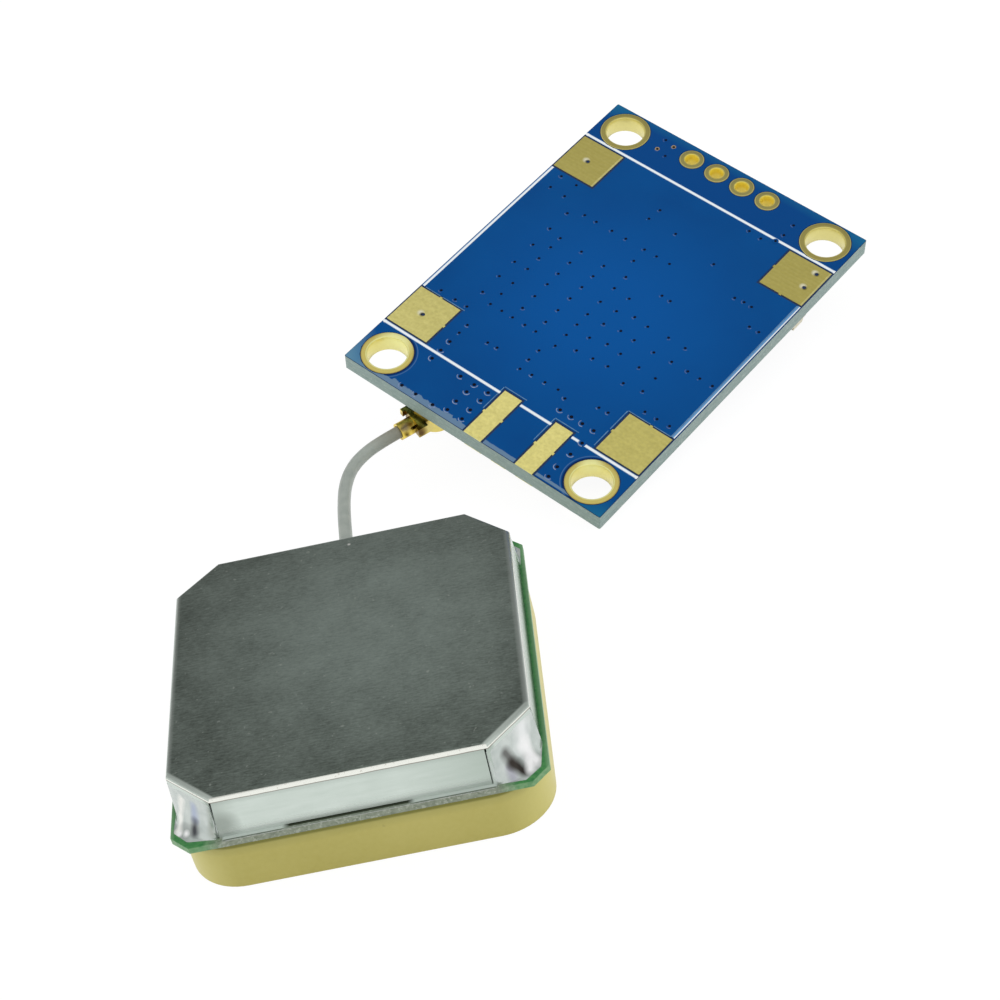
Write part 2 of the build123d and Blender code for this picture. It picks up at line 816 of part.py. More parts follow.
export_step(corner_pads.part, "parts/corner_pads.step")

# Ground pads for an edge-mounted antenna socket, on the plain face
with BuildPart() as edge_pads:
    with BuildSketch(face):
        with Locations(*[(x, edge_pad_y) for x in edge_pad_xs]):
            Rectangle(edge_pad_width, edge_pad_length)
            with GridLocations(edge_pad_width, 0, 2, 1):
                Rectangle(pad_tab_width, pad_tab_width)
    extrude(amount=copper_thickness)
edge_pads.part.label = "edge_pads"
export_step(edge_pads.part, "parts/edge_pads.step")

# The same socket's ground and signal pads on the underside
with BuildPart() as socket_pads:
    with BuildSketch(underside):
        with Locations(*[(x, -edge_pad_y) for x in edge_pad_xs]):
            Rectangle(edge_pad_width, edge_pad_length)
        with Locations((socket_from_centre, board_length / 2 - signal_pad_length / 2)):
            Rectangle(signal_pad_width, signal_pad_length)
    extrude(amount=copper_thickness)
socket_pads.part.label = "socket_pads"
export_step(socket_pads.part, "parts/socket_pads.step")

# White printed lines on the plain face
header_line_y = board_length / 2 - header_line_from_end
socket_line_y = -board_length / 2 + socket_line_from_end
side_line_x = board_width / 2 - side_line_from_side
side_line_top = header_pad_y - corner_pad_length / 2 - mask_gap
side_line_bottom = socket_pad_y + corner_pad_length / 2 + mask_gap
line_breaks = [-board_width / 2 + mask_edge_margin]
for x in edge_pad_xs:
    line_breaks += [x - edge_pad_width / 2 - mask_gap, x + edge_pad_width / 2 + mask_gap]
line_breaks += [board_width / 2 - mask_edge_margin]
with BuildPart() as printed_lines:
    with BuildSketch(masked_face):
        with Locations((0, header_line_y)):
            Rectangle(board_width - 2 * mask_edge_margin, silk_width)
        for start, stop in zip(line_breaks[::2], line_breaks[1::2]):
            with Locations(((start + stop) / 2, socket_line_y)):
                Rectangle(stop - start, silk_width)
        with Locations((0, (side_line_top + side_line_bottom) / 2)):
            with GridLocations(2 * side_line_x, 0, 2, 1):
                Rectangle(silk_width * 0.9, side_line_top - side_line_bottom)
        with Locations(*mount_places):
            RegularPolygon(mount_ring_radius + mask_gap / 2, ring_sides, mode=Mode.SUBTRACT)
    extrude(amount=silk_thickness)
printed_lines.part.label = "printed_lines"
export_step(printed_lines.part, "parts/printed_lines.step")

# Receiver: a small carrier board with half-round plated notches along its two long sides
receiver = plane_at(masked_underside, *receiver_place)
span = (first_group_count + second_group_count - 2) * castellation_pitch + castellation_gap
castellation_xs = [-span / 2 + i * castellation_pitch for i in range(first_group_count)]
castellation_xs += [span / 2 - i * castellation_pitch for i in range(second_group_count)]
castellation_places = [
    (x, side * receiver_width / 2) for side in (-1, 1) for x in castellation_xs
]
with BuildPart() as receiver_carrier:
    with BuildSketch(receiver):
        Rectangle(receiver_length, receiver_width)
        with Locations(*castellation_places):
            RegularPolygon(notch_radius, notch_sides, mode=Mode.SUBTRACT)
    extrude(amount=carrier_thickness)
receiver_carrier.part.label = "receiver_carrier"
export_step(receiver_carrier.part, "parts/receiver_carrier.step")

# Solder that fills each notch and ties the carrier to the board
with BuildPart() as receiver_joints:
    with BuildSketch(receiver):
        with Locations(*castellation_places):
            RegularPolygon(notch_radius, notch_sides)
    extrude(amount=carrier_thickness * 0.9)
receiver_joints.part.label = "receiver_joints"
export_step(receiver_joints.part, "parts/receiver_joints.step")

# The receiver's drawn lid
lid_seat = receiver.offset(carrier_thickness)
away_from_board = Axis(receiver.origin, receiver.z_dir)
with BuildPart() as receiver_lid:
    with BuildSketch(lid_seat):
        RectangleRounded(
            receiver_length - 2 * lid_margin, receiver_width - 2 * lid_margin, lid_corner_radius
        )
    extrude(amount=lid_height)
    chamfer(receiver_lid.faces().sort_by(away_from_board)[-1].edges(), lid_edge_break)
    with BuildSketch(lid_seat):
        Rectangle(
            receiver_length - 2 * (lid_margin + lid_sheet),
            receiver_width - 2 * (lid_margin + lid_sheet),
        )
        chamfer(vertices(), lid_corner_radius / 2)
    extrude(amount=lid_height - lid_sheet, mode=Mode.SUBTRACT)
receiver_lid.part.label = "receiver_lid"
export_step(receiver_lid.part, "parts/receiver_lid.step")

# Receiver chip and oscillator under the lid
with BuildPart() as receiver_chip:
    with BuildSketch(lid_seat):
        with Locations((-inner_part_gap, 0)):
            Rectangle(receiver_chip_side, receiver_chip_side)
    extrude(amount=receiver_chip_height)
receiver_chip.part.label = "receiver_chip"
export_step(receiver_chip.part, "parts/receiver_chip.step")

with BuildPart() as receiver_oscillator:
    with BuildSketch(lid_seat):
        with Locations((receiver_chip_side / 2 + inner_part_gap, 0)):
            Rectangle(oscillator_length, oscillator_width)
    extrude(amount=oscillator_height)
receiver_oscillator.part.label = "receiver_oscillator"
export_step(receiver_oscillator.part, "parts/receiver_oscillator.step")

# Board socket of the coaxial connector: moulded base, ring and lugs, centre pin
socket_seat = plane_at(masked_underside, connector_x, connector_y)
with BuildPart() as socket_base:
    with BuildSketch(socket_seat):
        Rectangle(socket_base_side, socket_base_side)
        chamfer(vertices(), socket_base_chamfer)
        Circle(socket_pin_radius, mode=Mode.SUBTRACT)
    extrude(amount=socket_base_height)
socket_base.part.label = "socket_base"
export_step(socket_base.part, "parts/socket_base.step")

with BuildPart() as socket_shell:
    with BuildSketch(socket_seat.offset(socket_base_height)):
        Circle(socket_ring_radius)
        Circle(socket_ring_radius - socket_ring_wall, mode=Mode.SUBTRACT)
    extrude(amount=socket_height - socket_base_height)
socket_shell.part.label = "socket_shell"
export_step(socket_shell.part, "parts/socket_shell.step")

with BuildPart() as socket_lugs:
    with BuildSketch(socket_seat):
        with GridLocations(socket_base_side + socket_lug_reach, 0, 2, 1):
            Rectangle(socket_lug_reach, socket_lug_width * 2)
        with Locations((0, -(socket_base_side + socket_lug_reach) / 2)):
            Rectangle(socket_lug_width, socket_lug_reach)
    extrude(amount=socket_base_height * 0.5)
socket_lugs.part.label = "socket_lugs"
export_step(socket_lugs.part, "parts/socket_lugs.step")

with BuildPart() as socket_pin:
    with BuildSketch(socket_seat):
        Circle(socket_pin_radius)
    extrude(amount=socket_height * 0.85)
socket_pin.part.label = "socket_pin"
export_step(socket_pin.part, "parts/socket_pin.step")

# The plug: a folded shell with a round cap, a neck, two ears and a crimp round the cable
plug_seat = plane_at(masked_underside, connector_x, connector_y, plug_turn)
plug_axis = Plane(
    origin=plug_seat.from_local_coords(Vector(0, 0, plug_axis_height)),
    x_dir=plug_seat.x_dir,
    z_dir=plug_seat.y_dir,
)
cap_floor = socket_base_height + plug_lift
cap_bore = socket_ring_radius + plug_fit
neck_length = crimp_from_centre - crimp_length
crimp_bore = cable_radius + crimp_fit
ear_y = plug_radius + ear_length / 2
with BuildPart() as plug_shell:
    with BuildSketch(plug_seat.offset(cap_floor)):
        Circle(plug_radius)
        with Locations((0, neck_length / 2)):
            Rectangle(neck_width, neck_length)
    extrude(amount=plug_height - cap_floor)
    with BuildSketch(plug_axis.offset(neck_length)):
        Circle(crimp_bore + crimp_wall)
    extrude(amount=crimp_length)
    with BuildSketch(plug_seat.offset(cap_floor)):
        with Locations((0, ear_y)):
            with GridLocations(neck_width + ear_reach, 0, 2, 1):
                Rectangle(ear_reach, ear_length)
    extrude(amount=plug_sheet * 3)
    with BuildSketch(plug_seat.offset(cap_floor)):
        Circle(cap_bore)
    extrude(amount=plug_height - plug_sheet - cap_floor, mode=Mode.SUBTRACT)
    with BuildSketch(plug_axis.offset(cap_bore * 0.8)):
        Circle(braid_radius + crimp_fit)
    extrude(amount=crimp_from_centre, mode=Mode.SUBTRACT)
    with BuildSketch(plug_axis.offset(crimp_depth - crimp_fit)):
        Circle(crimp_bore)
    extrude(amount=crimp_from_centre, mode=Mode.SUBTRACT)
    with BuildSketch(plug_axis.offset(neck_length)):
        with Locations((0, -crimp_bore)):
            Rectangle(crimp_slit, 2 * crimp_wall + crimp_bore)
    extrude(amount=crimp_length, mode=Mode.SUBTRACT)
plug_shell.part.label = "plug_shell"
export_step(plug_shell.part, "parts/plug_shell.step")

insulator_floor = socket_height + plug_fit
core_end = crimp_depth - braid_length - core_length
with BuildPart() as plug_insulator:
    with BuildSketch(plug_seat.offset(insulator_floor)):
        Circle(cap_bore)
        RegularPolygon(contact_radius, channel_sides, major_radius=False, mode=Mode.SUBTRACT)
    extrude(amount=plug_height - plug_sheet - insulator_floor)
    with BuildSketch(plug_axis.offset(core_end - wire_length - crimp_fit)):
        RegularPolygon(wire_radius + crimp_fit, channel_sides, major_radius=False)
    extrude(amount=wire_length + 2 * crimp_fit, mode=Mode.SUBTRACT)
    with BuildSketch(plug_axis.offset(core_end - crimp_fit)):
        RegularPolygon(core_radius + crimp_fit, channel_sides, major_radius=False)
    extrude(amount=core_length, mode=Mode.SUBTRACT)
plug_insulator.part.label = "plug_insulator"
export_step(plug_insulator.part, "parts/plug_insulator.step")

with BuildPart() as plug_contact:
    with BuildSketch(plug_seat.offset(cap_floor)):
        Circle(contact_radius)
        Circle(contact_radius - contact_wall, mode=Mode.SUBTRACT)
    extrude(amount=plug_axis_height - cap_floor - wire_radius)
plug_contact.part.label = "plug_contact"
export_step(plug_contact.part, "parts/plug_contact.step")

# Backup cell: cup, gasket, cap and its two welded tabs
cell_seat = plane_at(masked_underside, *cell_place)
with BuildPart() as cell_cup:
    with BuildSketch(cell_seat.offset(cell_tab_thickness)):
        Circle(cell_radius)
    extrude(amount=cell_height)
    chamfer(cell_cup.edges().filter_by(GeomType.CIRCLE), cell_edge_break)
cell_cup.part.label = "cell_cup"
export_step(cell_cup.part, "parts/cell_cup.step")

with BuildPart() as cell_gasket:
    with BuildSketch(cell_seat.offset(cell_tab_thickness + cell_height)):
        Circle(cell_gasket_radius)
        Circle(cell_cap_radius, mode=Mode.SUBTRACT)
    extrude(amount=cell_gasket_height)
cell_gasket.part.label = "cell_gasket"
export_step(cell_gasket.part, "parts/cell_gasket.step")

with BuildPart() as cell_cap:
    with BuildSketch(cell_seat.offset(cell_tab_thickness + cell_height)):
        Circle(cell_cap_radius)
    extrude(amount=cell_cap_height)
cell_cap.part.label = "cell_cap"
export_step(cell_cap.part, "parts/cell_cap.step")

cell_top = cell_tab_thickness + cell_height + cell_cap_height
tab_end = cell_radius + cell_tab_reach
tab_drop = cell_radius + cell_tab_gap
with BuildPart() as cell_tabs:
    with BuildSketch(standing_plane(cell_seat, 0, 0, 0)):
        with BuildLine():
            Polyline(
                (-cell_tab_overlap, cell_top),
                (-cell_tab_overlap, cell_top + cell_tab_thickness),
                (tab_drop + cell_tab_thickness, cell_top + cell_tab_thickness),
                (tab_drop + cell_tab_thickness, cell_tab_thickness),
                (tab_end, cell_tab_thickness),
                (tab_end, 0),
                (tab_drop, 0),
                (tab_drop, cell_top),
                close=True,
            )
        make_face()
        with BuildLine():
            Polyline(
                (cell_tab_overlap, 0),
                (cell_tab_overlap, cell_tab_thickness),
                (-tab_end, cell_tab_thickness),
                (-tab_end, 0),
                close=True,
            )
        make_face()
    extrude(amount=cell_tab_width / 2, both=True)
cell_tabs.part.label = "cell_tabs"
export_step(cell_tabs.part, "parts/cell_tabs.step")

# Memory chip: a moulded body with bent leads on its two long sides
memory_seat = plane_at(masked_underside, *memory_place)
with BuildPart() as memory_chip:
    with BuildSketch(memory_seat.offset(body_lift)):
        Rectangle(memory_length, memory_width)
    extrude(amount=memory_height)
    chamfer(memory_chip.faces().sort_by(away_from_board)[-1].edges(), body_break)
memory_chip.part.label = "memory_chip"
export_step(memory_chip.part, "parts/memory_chip.step")

memory_lead_span = memory_pitch * (memory_leads_per_side - 1)
memory_lead_xs = [
    -memory_lead_span / 2 + i * memory_pitch for i in range(memory_leads_per_side)
]
with BuildPart() as memory_leads:
    for side in (1, -1):
        for x in memory_lead_xs:
            with BuildSketch(standing_plane(memory_seat, x, side * memory_width / 2, side * 90)):
                with BuildLine():
                    lead_outline(lead_height, lead_reach)
                make_face()
            extrude(amount=lead_width / 2, both=True)
memory_leads.part.label = "memory_leads"
export_step(memory_leads.part, "parts/memory_leads.step")

# Voltage regulator: a smaller body with three leads on one side and two on the other
regulator_seat = plane_at(masked_underside, *regulator_place)
with BuildPart() as regulator:
    with BuildSketch(regulator_seat.offset(body_lift)):
        Rectangle(regulator_length, regulator_width)
    extrude(amount=regulator_height)
    chamfer(regulator.faces().sort_by(away_from_board)[-1].edges(), body_break)
regulator.part.label = "regulator"
export_step(regulator.part, "parts/regulator.step")

with BuildPart() as regulator_leads:
    for side, steps in ((1, (-1, 0, 1)), (-1, (-1, 1))):
        for step in steps:
            with BuildSketch(
                standing_plane(
                    regulator_seat, step * regulator_pitch, side * regulator_width / 2, side * 90
                )
            ):
                with BuildLine():
                    lead_outline(lead_height, lead_reach * 0.75)
                make_face()
            extrude(amount=lead_width / 2, both=True)
regulator_leads.part.label = "regulator_leads"
export_step(regulator_leads.part, "parts/regulator_leads.step")

# Status lamp at the right edge: a small base with a moulded lens
lamp_seat = plane_at(masked_underside, *lamp_place)
with BuildPart() as lamp_base:
    with BuildSketch(lamp_seat):
        Rectangle(lamp_width, lamp_length)
        with GridLocations(0, lamp_length, 1, 2):
            Circle(lamp_width / 5, mode=Mode.SUBTRACT)
    extrude(amount=lamp_base_height)
lamp_base.part.label = "lamp_base"
export_step(lamp_base.part, "parts/lamp_base.step")

with BuildPart() as lamp_lens:
    with BuildSketch(lamp_seat.offset(lamp_base_height)):
        Rectangle(lamp_width, lamp_lens_length)
    extrude(amount=lamp_lens_height, taper=6)
lamp_lens.part.label = "lamp_lens"
export_step(lamp_lens.part, "parts/lamp_lens.step")

# Chip resistors: thin ceramic bodies between tinned ends
with BuildPart() as resistor_bodies:
    for x, y, turn in resistor_places:
        with BuildSketch(plane_at(masked_underside, x, y, turn)):
            Rectangle(chip_length - 2 * chip_end, chip_width - 2 * chip_inset)
        extrude(amount=resistor_height - chip_inset)
resistor_bodies.part.label = "resistor_bodies"
export_step(resistor_bodies.part, "parts/resistor_bodies.step")

# Chip capacitors: taller bodies of the same plan
with BuildPart() as capacitor_bodies:
    for x, y, turn in capacitor_places:
        with BuildSketch(plane_at(masked_underside, x, y, turn)):
            Rectangle(chip_length - 2 * chip_end, chip_width - 2 * chip_inset)
        extrude(amount=capacitor_height - chip_inset)
capacitor_bodies.part.label = "capacitor_bodies"
export_step(capacitor_bodies.part, "parts/capacitor_bodies.step")

# The choke that feeds the antenna's amplifier
with BuildPart() as choke_body:
    with BuildSketch(plane_at(masked_underside, *choke_place)):
        Rectangle(chip_length - 2 * chip_end, chip_width - 2 * chip_inset)
    extrude(amount=choke_height - chip_inset)
choke_body.part.label = "choke_body"
export_step(choke_body.part, "parts/choke_body.step")

# Tinned end caps of all these chips
capped_chips = (
    [(place, resistor_height) for place in resistor_places]
    + [(place, capacitor_height) for place in capacitor_places]
    + [(choke_place, choke_height)]
)
with BuildPart() as chip_ends:
    for (x, y, turn), height in capped_chips:
        with BuildSketch(plane_at(masked_underside, x, y, turn)):
            with GridLocations(chip_length - chip_end, 0, 2, 1):
                Rectangle(chip_end, chip_width)
        extrude(amount=height)
chip_ends.part.label = "chip_ends"
export_step(chip_ends.part, "parts/chip_ends.step")

# Protection diode: a moulded block with a flat tab under each end
diode_seat = plane_at(masked_underside, *diode_place)
with BuildPart() as diode_body:
    with BuildSketch(diode_seat.offset(lead_thickness)):
        Rectangle(diode_length, diode_width)
    extrude(amount=diode_height)
    chamfer(diode_body.faces().sort_by(away_from_board)[-1].edges(), body_break)
diode_body.part.label = "diode_body"
export_step(diode_body.part, "parts/diode_body.step")

with BuildPart() as diode_tabs:
    with BuildSketch(diode_seat):
        with GridLocations(diode_length, 0, 2, 1):
            Rectangle(diode_tab_length, diode_width * 0.6)
    extrude(amount=lead_thickness)
diode_tabs.part.label = "diode_tabs"
export_step(diode_tabs.part, "parts/diode_tabs.step")
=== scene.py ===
import json
from math import cos, pi, radians, sin

import bpy
from mathutils import Matrix, Vector, noise


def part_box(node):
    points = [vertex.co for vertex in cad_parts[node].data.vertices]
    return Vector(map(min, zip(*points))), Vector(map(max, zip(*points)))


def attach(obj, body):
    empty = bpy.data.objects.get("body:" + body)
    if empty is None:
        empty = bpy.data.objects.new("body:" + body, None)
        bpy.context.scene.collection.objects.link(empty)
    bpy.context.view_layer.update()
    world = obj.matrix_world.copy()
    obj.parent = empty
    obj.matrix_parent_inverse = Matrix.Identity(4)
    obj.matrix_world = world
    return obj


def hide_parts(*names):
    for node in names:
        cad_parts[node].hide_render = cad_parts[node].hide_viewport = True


# A satellite positioning module: a blue receiver board, plain side up, and a square patch
# antenna with a folded shield can, joined by a short grey coaxial lead.
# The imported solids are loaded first; each section below dresses or replaces some of them.
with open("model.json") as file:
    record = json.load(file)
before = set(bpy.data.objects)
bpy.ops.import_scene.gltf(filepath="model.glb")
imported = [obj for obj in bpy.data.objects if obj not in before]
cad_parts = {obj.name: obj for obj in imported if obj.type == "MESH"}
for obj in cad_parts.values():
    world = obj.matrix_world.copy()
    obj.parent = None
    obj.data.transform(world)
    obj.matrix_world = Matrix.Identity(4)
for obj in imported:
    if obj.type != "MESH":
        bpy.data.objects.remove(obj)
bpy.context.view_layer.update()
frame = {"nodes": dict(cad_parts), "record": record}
MM = 0.001

# The camera stands in front of the antenna and looks down on both boards, a little rolled.
bpy.ops.object.select_all(action="DESELECT")
bpy.ops.object.camera_add(
    location=(0.022846, -0.120525, 0.109292),
    rotation=(radians(51.9043), radians(11.4849), radians(-4.0615)),
)
camera = bpy.context.object
camera.name = "camera"
camera.data.lens = 85.02
camera.data.sensor_width = 36
camera.data.clip_start = 0.005
bpy.context.scene.camera = camera


# The coaxial lead's jacket: a smooth grey fluoropolymer tube, 1.0 mm thick, that runs from the
# plug's crimp under the board, round one bend, and in through a gate in the can's far wall.
def shade(red, green, blue):
    """A colour as it shows on screen, 0 to 255, turned to the shader's own linear values."""
    linear = []
    for part in (red, green, blue):
        part = part / 255
        linear.append(part / 12.92 if part <= 0.04045 else ((part + 0.055) / 1.055) ** 2.4)
    return (*linear, 1.0)


def feed(node, **values):
    """A node's inputs, each under its own name, joined to a socket or set to a value."""
    for label, value in values.items():
        slot = node.inputs[label.replace("_", " ")]
        if isinstance(value, bpy.types.NodeSocket):
            node.id_data.links.new(value, slot)
        else:
            slot.default_value = value


def finish(name, roughness=0.5, metallic=0.0, specular=0.5):
    """A new material and its shader, the plain values set on the shader."""
    material = bpy.data.materials.new(name)
    material.use_nodes = True
    shader = material.node_tree.nodes["Principled BSDF"]
    feed(shader, Roughness=roughness, Metallic=metallic, Specular_IOR_Level=specular)
    return material, shader


def point_mm(shader, centre=(0, 0, 0), turn=(0, 0, 0)):
    """Object coordinates in millimetres, measured from centre and turned with the piece."""
    where = shader.id_data.nodes.new("ShaderNodeTexCoord")
    mapping = shader.id_data.nodes.new("ShaderNodeMapping")
    mapping.vector_type = "TEXTURE"
    feed(mapping, Vector=where.outputs["Object"], Location=centre, Rotation=turn, Scale=(MM, MM, MM))
    return mapping.outputs["Vector"]


def wired(kind, *values):
    """A new node beside the sockets among its values: each input takes a number or a link."""
    tree = next(value.id_data for value in values if isinstance(value, bpy.types.NodeSocket))
    node = tree.nodes.new(kind)
    if kind == "ShaderNodeMix":
        node.data_type = "RGBA"
    slots = (0, 6, 7) if kind == "ShaderNodeMix" else range(len(values))
    for slot, value in zip(slots, values):
        if isinstance(value, bpy.types.NodeSocket):
            tree.links.new(value, node.inputs[slot])
        else:
            node.inputs[slot].default_value = value
    return node


def maths(operation, first, second=0.0, clamp=False):
    """One Math node; each value is a number or a socket."""
    node = wired("ShaderNodeMath", first, second)
    node.operation = operation
    node.use_clamp = clamp
    return node.outputs[0]


def mixed(mask, first, second):
    """A colour that goes from first to second as mask goes from 0 to 1."""
    return wired("ShaderNodeMix", mask, first, second).outputs[2]


def ramped(value, low, high, start=0.0, stop=1.0):
    """The value between low and high, spread from start to stop."""
    return wired("ShaderNodeMapRange", value, low, high, start, stop).outputs["Result"]


def axes_of(vector):
    """The three parts of a vector."""
    return wired("ShaderNodeSeparateXYZ", vector).outputs


def drift(mask, first, second):
    """A colour between two, each from 0 to 255, as mask goes from 0 to 1."""
    return mixed(mask, shade(*first), shade(*second))


def layered(tone, *layers):
    """A tone under thin layers of (mask, share, colour), each laid over those before it."""
    for mask, share, colour in layers:
        if share < 1.0:
            mask = maths("MULTIPLY", mask, share)
        tone = mixed(mask, tone, shade(*colour))
    return tone


def noisy(point, **values):
    """A Noise Texture node that reads a point, with its other inputs given by name."""
    node = point.id_data.nodes.new("ShaderNodeTexNoise")
    feed(node, Vector=point, **values)
    return node.outputs


def start_group(name, inputs, outputs):
    """An empty shader node group with named sockets: itself, what it is given, and its end."""
    group = bpy.data.node_groups.new(name, "ShaderNodeTree")
    for label, kind, value in inputs:
        socket = group.interface.new_socket(label, in_out="INPUT", socket_type=kind)
        if value is not None:
            socket.default_value = value
    for label, kind in outputs:
        group.interface.new_socket(label, in_out="OUTPUT", socket_type=kind)
    given = group.nodes.new("NodeGroupInput").outputs
    return group, given, group.nodes.new("NodeGroupOutput")


def give_surface(given, end, pattern):
    """A group's mask and normal, both from one noise, with a depth in millimetres."""
    relief = end.id_data.nodes.new("ShaderNodeBump")
    feed(relief, Height=pattern, Distance=maths("MULTIPLY", given["Depth"], MM))
    feed(end, Mask=ramped(pattern, 0.3, 0.7), Normal=relief.outputs["Normal"])


def place_group(group, point, **values):
    """A group set in a material, reading point, with its other inputs given by name."""
    node = point.id_data.nodes.new("ShaderNodeGroup")
    node.node_tree = group
    feed(node, Point=point, **values)
    return node.outputs


# grain: an even, fine unevenness of tone and surface, of a size in millimetres
surface_sockets = (("Mask", "NodeSocketFloat"), ("Normal", "NodeSocketVector"))
grain, grain_given, grain_end = start_group(
    "grain",
    (
        ("Point", "NodeSocketVector", None),
        ("Size", "NodeSocketFloat", 1.0),
        ("Depth", "NodeSocketFloat", 0.01),
    ),
    surface_sockets,
)
grain_scale = maths("DIVIDE", 1.0, grain_given["Size"])
grain_noise = noisy(grain_given["Point"], Scale=grain_scale, Detail=4.0)
give_surface(grain_given, grain_end, grain_noise["Fac"])

lead_points = [
    (4.78, 28.89, 4.27),
    (2.95, 27.88, 4.26),
    (1.30, 26.55, 4.32),
    (0.22, 24.75, 4.46),
    (-0.28, 22.50, 4.63),
    (-0.38, 19.90, 4.83),
    (-0.31, 17.00, 4.99),
    (-0.17, 14.00, 5.08),
    (-0.15, 11.10, 5.08),
]
lead_radius = 0.5
lead_line = bpy.data.curves.new("coaxial_lead", "CURVE")
lead_line.dimensions = "3D"
lead_spline = lead_line.splines.new("NURBS")
lead_spline.points.add(len(lead_points) - 1)
for knot, place in zip(lead_spline.points, lead_points):
    knot.co = (place[0] * MM, place[1] * MM, place[2] * MM, 1.0)
lead_spline.order_u = 3
lead_spline.use_endpoint_u = True
lead_spline.resolution_u = 16
lead_line.bevel_depth = lead_radius * MM
lead_line.bevel_resolution = 6
lead_line.use_fill_caps = True
coaxial_lead = bpy.data.objects.new("coaxial_lead", lead_line)
bpy.context.scene.collection.objects.link(coaxial_lead)
jacket, jacket_shader = finish("jacket", 0.38, 0.0, 0.45)
jacket_point = point_mm(jacket_shader)
jacket_skin = place_group(grain, jacket_point, Size=0.9, Depth=0.02)
jacket_warm = ramped(axes_of(jacket_point)[1], 26.5, 28.5)
jacket_tone = drift(jacket_skin["Mask"], (156, 164, 157), (170, 177, 169))
jacket_tone = layered(jacket_tone, (jacket_warm, 1.0, (144, 140, 124)))
feed(jacket_shader, Base_Color=jacket_tone, Normal=jacket_skin["Normal"])
lead_line.materials.append(jacket)
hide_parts("coax_cable")
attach(coaxial_lead, "root")

# The antenna's ceramic: a pressed and fired block, sand coloured, with soft round corners. It
# lies on the face that carries its silver electrode and the flat head of the feed pin.

# specks: small scattered spots, from a few to many
specks, specks_given, specks_end = start_group(
    "specks",
    (
        ("Point", "NodeSocketVector", None),
        ("Size", "NodeSocketFloat", 0.5),
        ("Share", "NodeSocketFloat", 0.3),
    ),
    surface_sockets[:1],
)
specks_scale = maths("DIVIDE", 1.0, specks_given["Size"])
specks_noise = noisy(specks_given["Point"], Scale=specks_scale, Detail=1.0)
specks_rarest = maths("SUBTRACT", specks_noise["Fac"], 0.75)
specks_level = maths("ADD", specks_rarest, maths("MULTIPLY", specks_given["Share"], 0.5))
feed(specks_end, Mask=maths("MULTIPLY", specks_level, 12.0, clamp=True))


def grained(name, dark, light, size, depth, roughness, metallic=0.0, specular=0.5, spread=0.1):
    """A finish that drifts between two tones in a grain, duller in its dark parts."""
    material, shader = finish(name, roughness, metallic, specular)
    surface = place_group(grain, point_mm(shader), Size=size, Depth=depth)
    feed(
        shader,
        Base_Color=drift(surface["Mask"], dark, light),
        Roughness=ramped(surface["Mask"], 0.0, 1.0, roughness + spread, roughness - spread),
        Normal=surface["Normal"],
    )
    return material


def dress(node, material):
    """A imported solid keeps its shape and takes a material."""
    frame["nodes"][node].material_slots[0].material = material


ceramic, ceramic_shader = finish("ceramic", 0.42, 0.0, 0.4)
ceramic_point = point_mm(ceramic_shader)
ceramic_axes = axes_of(ceramic_point)
ceramic_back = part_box("ceramic_patch")[1].z / MM
ceramic_skin = place_group(grain, ceramic_point, Size=0.35, Depth=0.012)
ceramic_drift = place_group(grain, ceramic_point, Size=9.0, Depth=0.0)
ceramic_pits = place_group(specks, ceramic_point, Size=0.5, Share=-0.02)
# Painted light on the ceramic: its rounded ends are painted lighter, a painted highlight from the
# side light; it darkens towards its top, painted shade under the board's overhang; and a thin olive
# line just under the board is a painted shadow.
ceramic_lit_ends = ramped(maths("ABSOLUTE", ceramic_axes[0]), 9.0, 12.3)
ceramic_upper_shade = ramped(ceramic_axes[2], ceramic_back - 1.1, ceramic_back - 0.4)
ceramic_lip_shadow = ramped(ceramic_axes[2], ceramic_back - 0.42, ceramic_back - 0.26)
ceramic_tone = drift(ceramic_drift["Mask"], (188, 178, 92), (200, 190, 106))
ceramic_tone = layered(
    ceramic_tone,
    (ceramic_skin["Mask"], 0.2, (208, 200, 124)),
    (ceramic_lit_ends, 0.7, (228, 219, 136)),
    (ceramic_pits["Mask"], 0.5, (150, 138, 72)),
    (ceramic_upper_shade, 0.4, (156, 152, 84)),
    (ceramic_lip_shadow, 1.0, (126, 124, 44)),
)
feed(ceramic_shader, Base_Color=ceramic_tone, Normal=ceramic_skin["Normal"])
dress("ceramic_patch", ceramic)
dress(
    "patch_electrode",
    grained("fired_silver", (196, 194, 186), (222, 221, 214), 0.8, 0.01, 0.38, metallic=1.0),
)
tin = grained("tin", (150, 153, 150), (190, 193, 190), 0.5, 0.02, 0.3, metallic=1.0)
dress("feed_pin", tin)
dress("pin_solder", tin)
dress("adhesive_sheet", grained("tape", (66, 62, 34), (92, 86, 44), 0.5, 0.02, 0.7))

# The antenna board: thin glass laminate, green all through, with its corners cut. Solder has
# run over its near edge, which is grey and speckled there.
def both(*masks):
    """The product of several masks."""
    product = masks[0]
    for mask in masks[1:]:
        product = maths("MULTIPLY", product, mask)
    return product


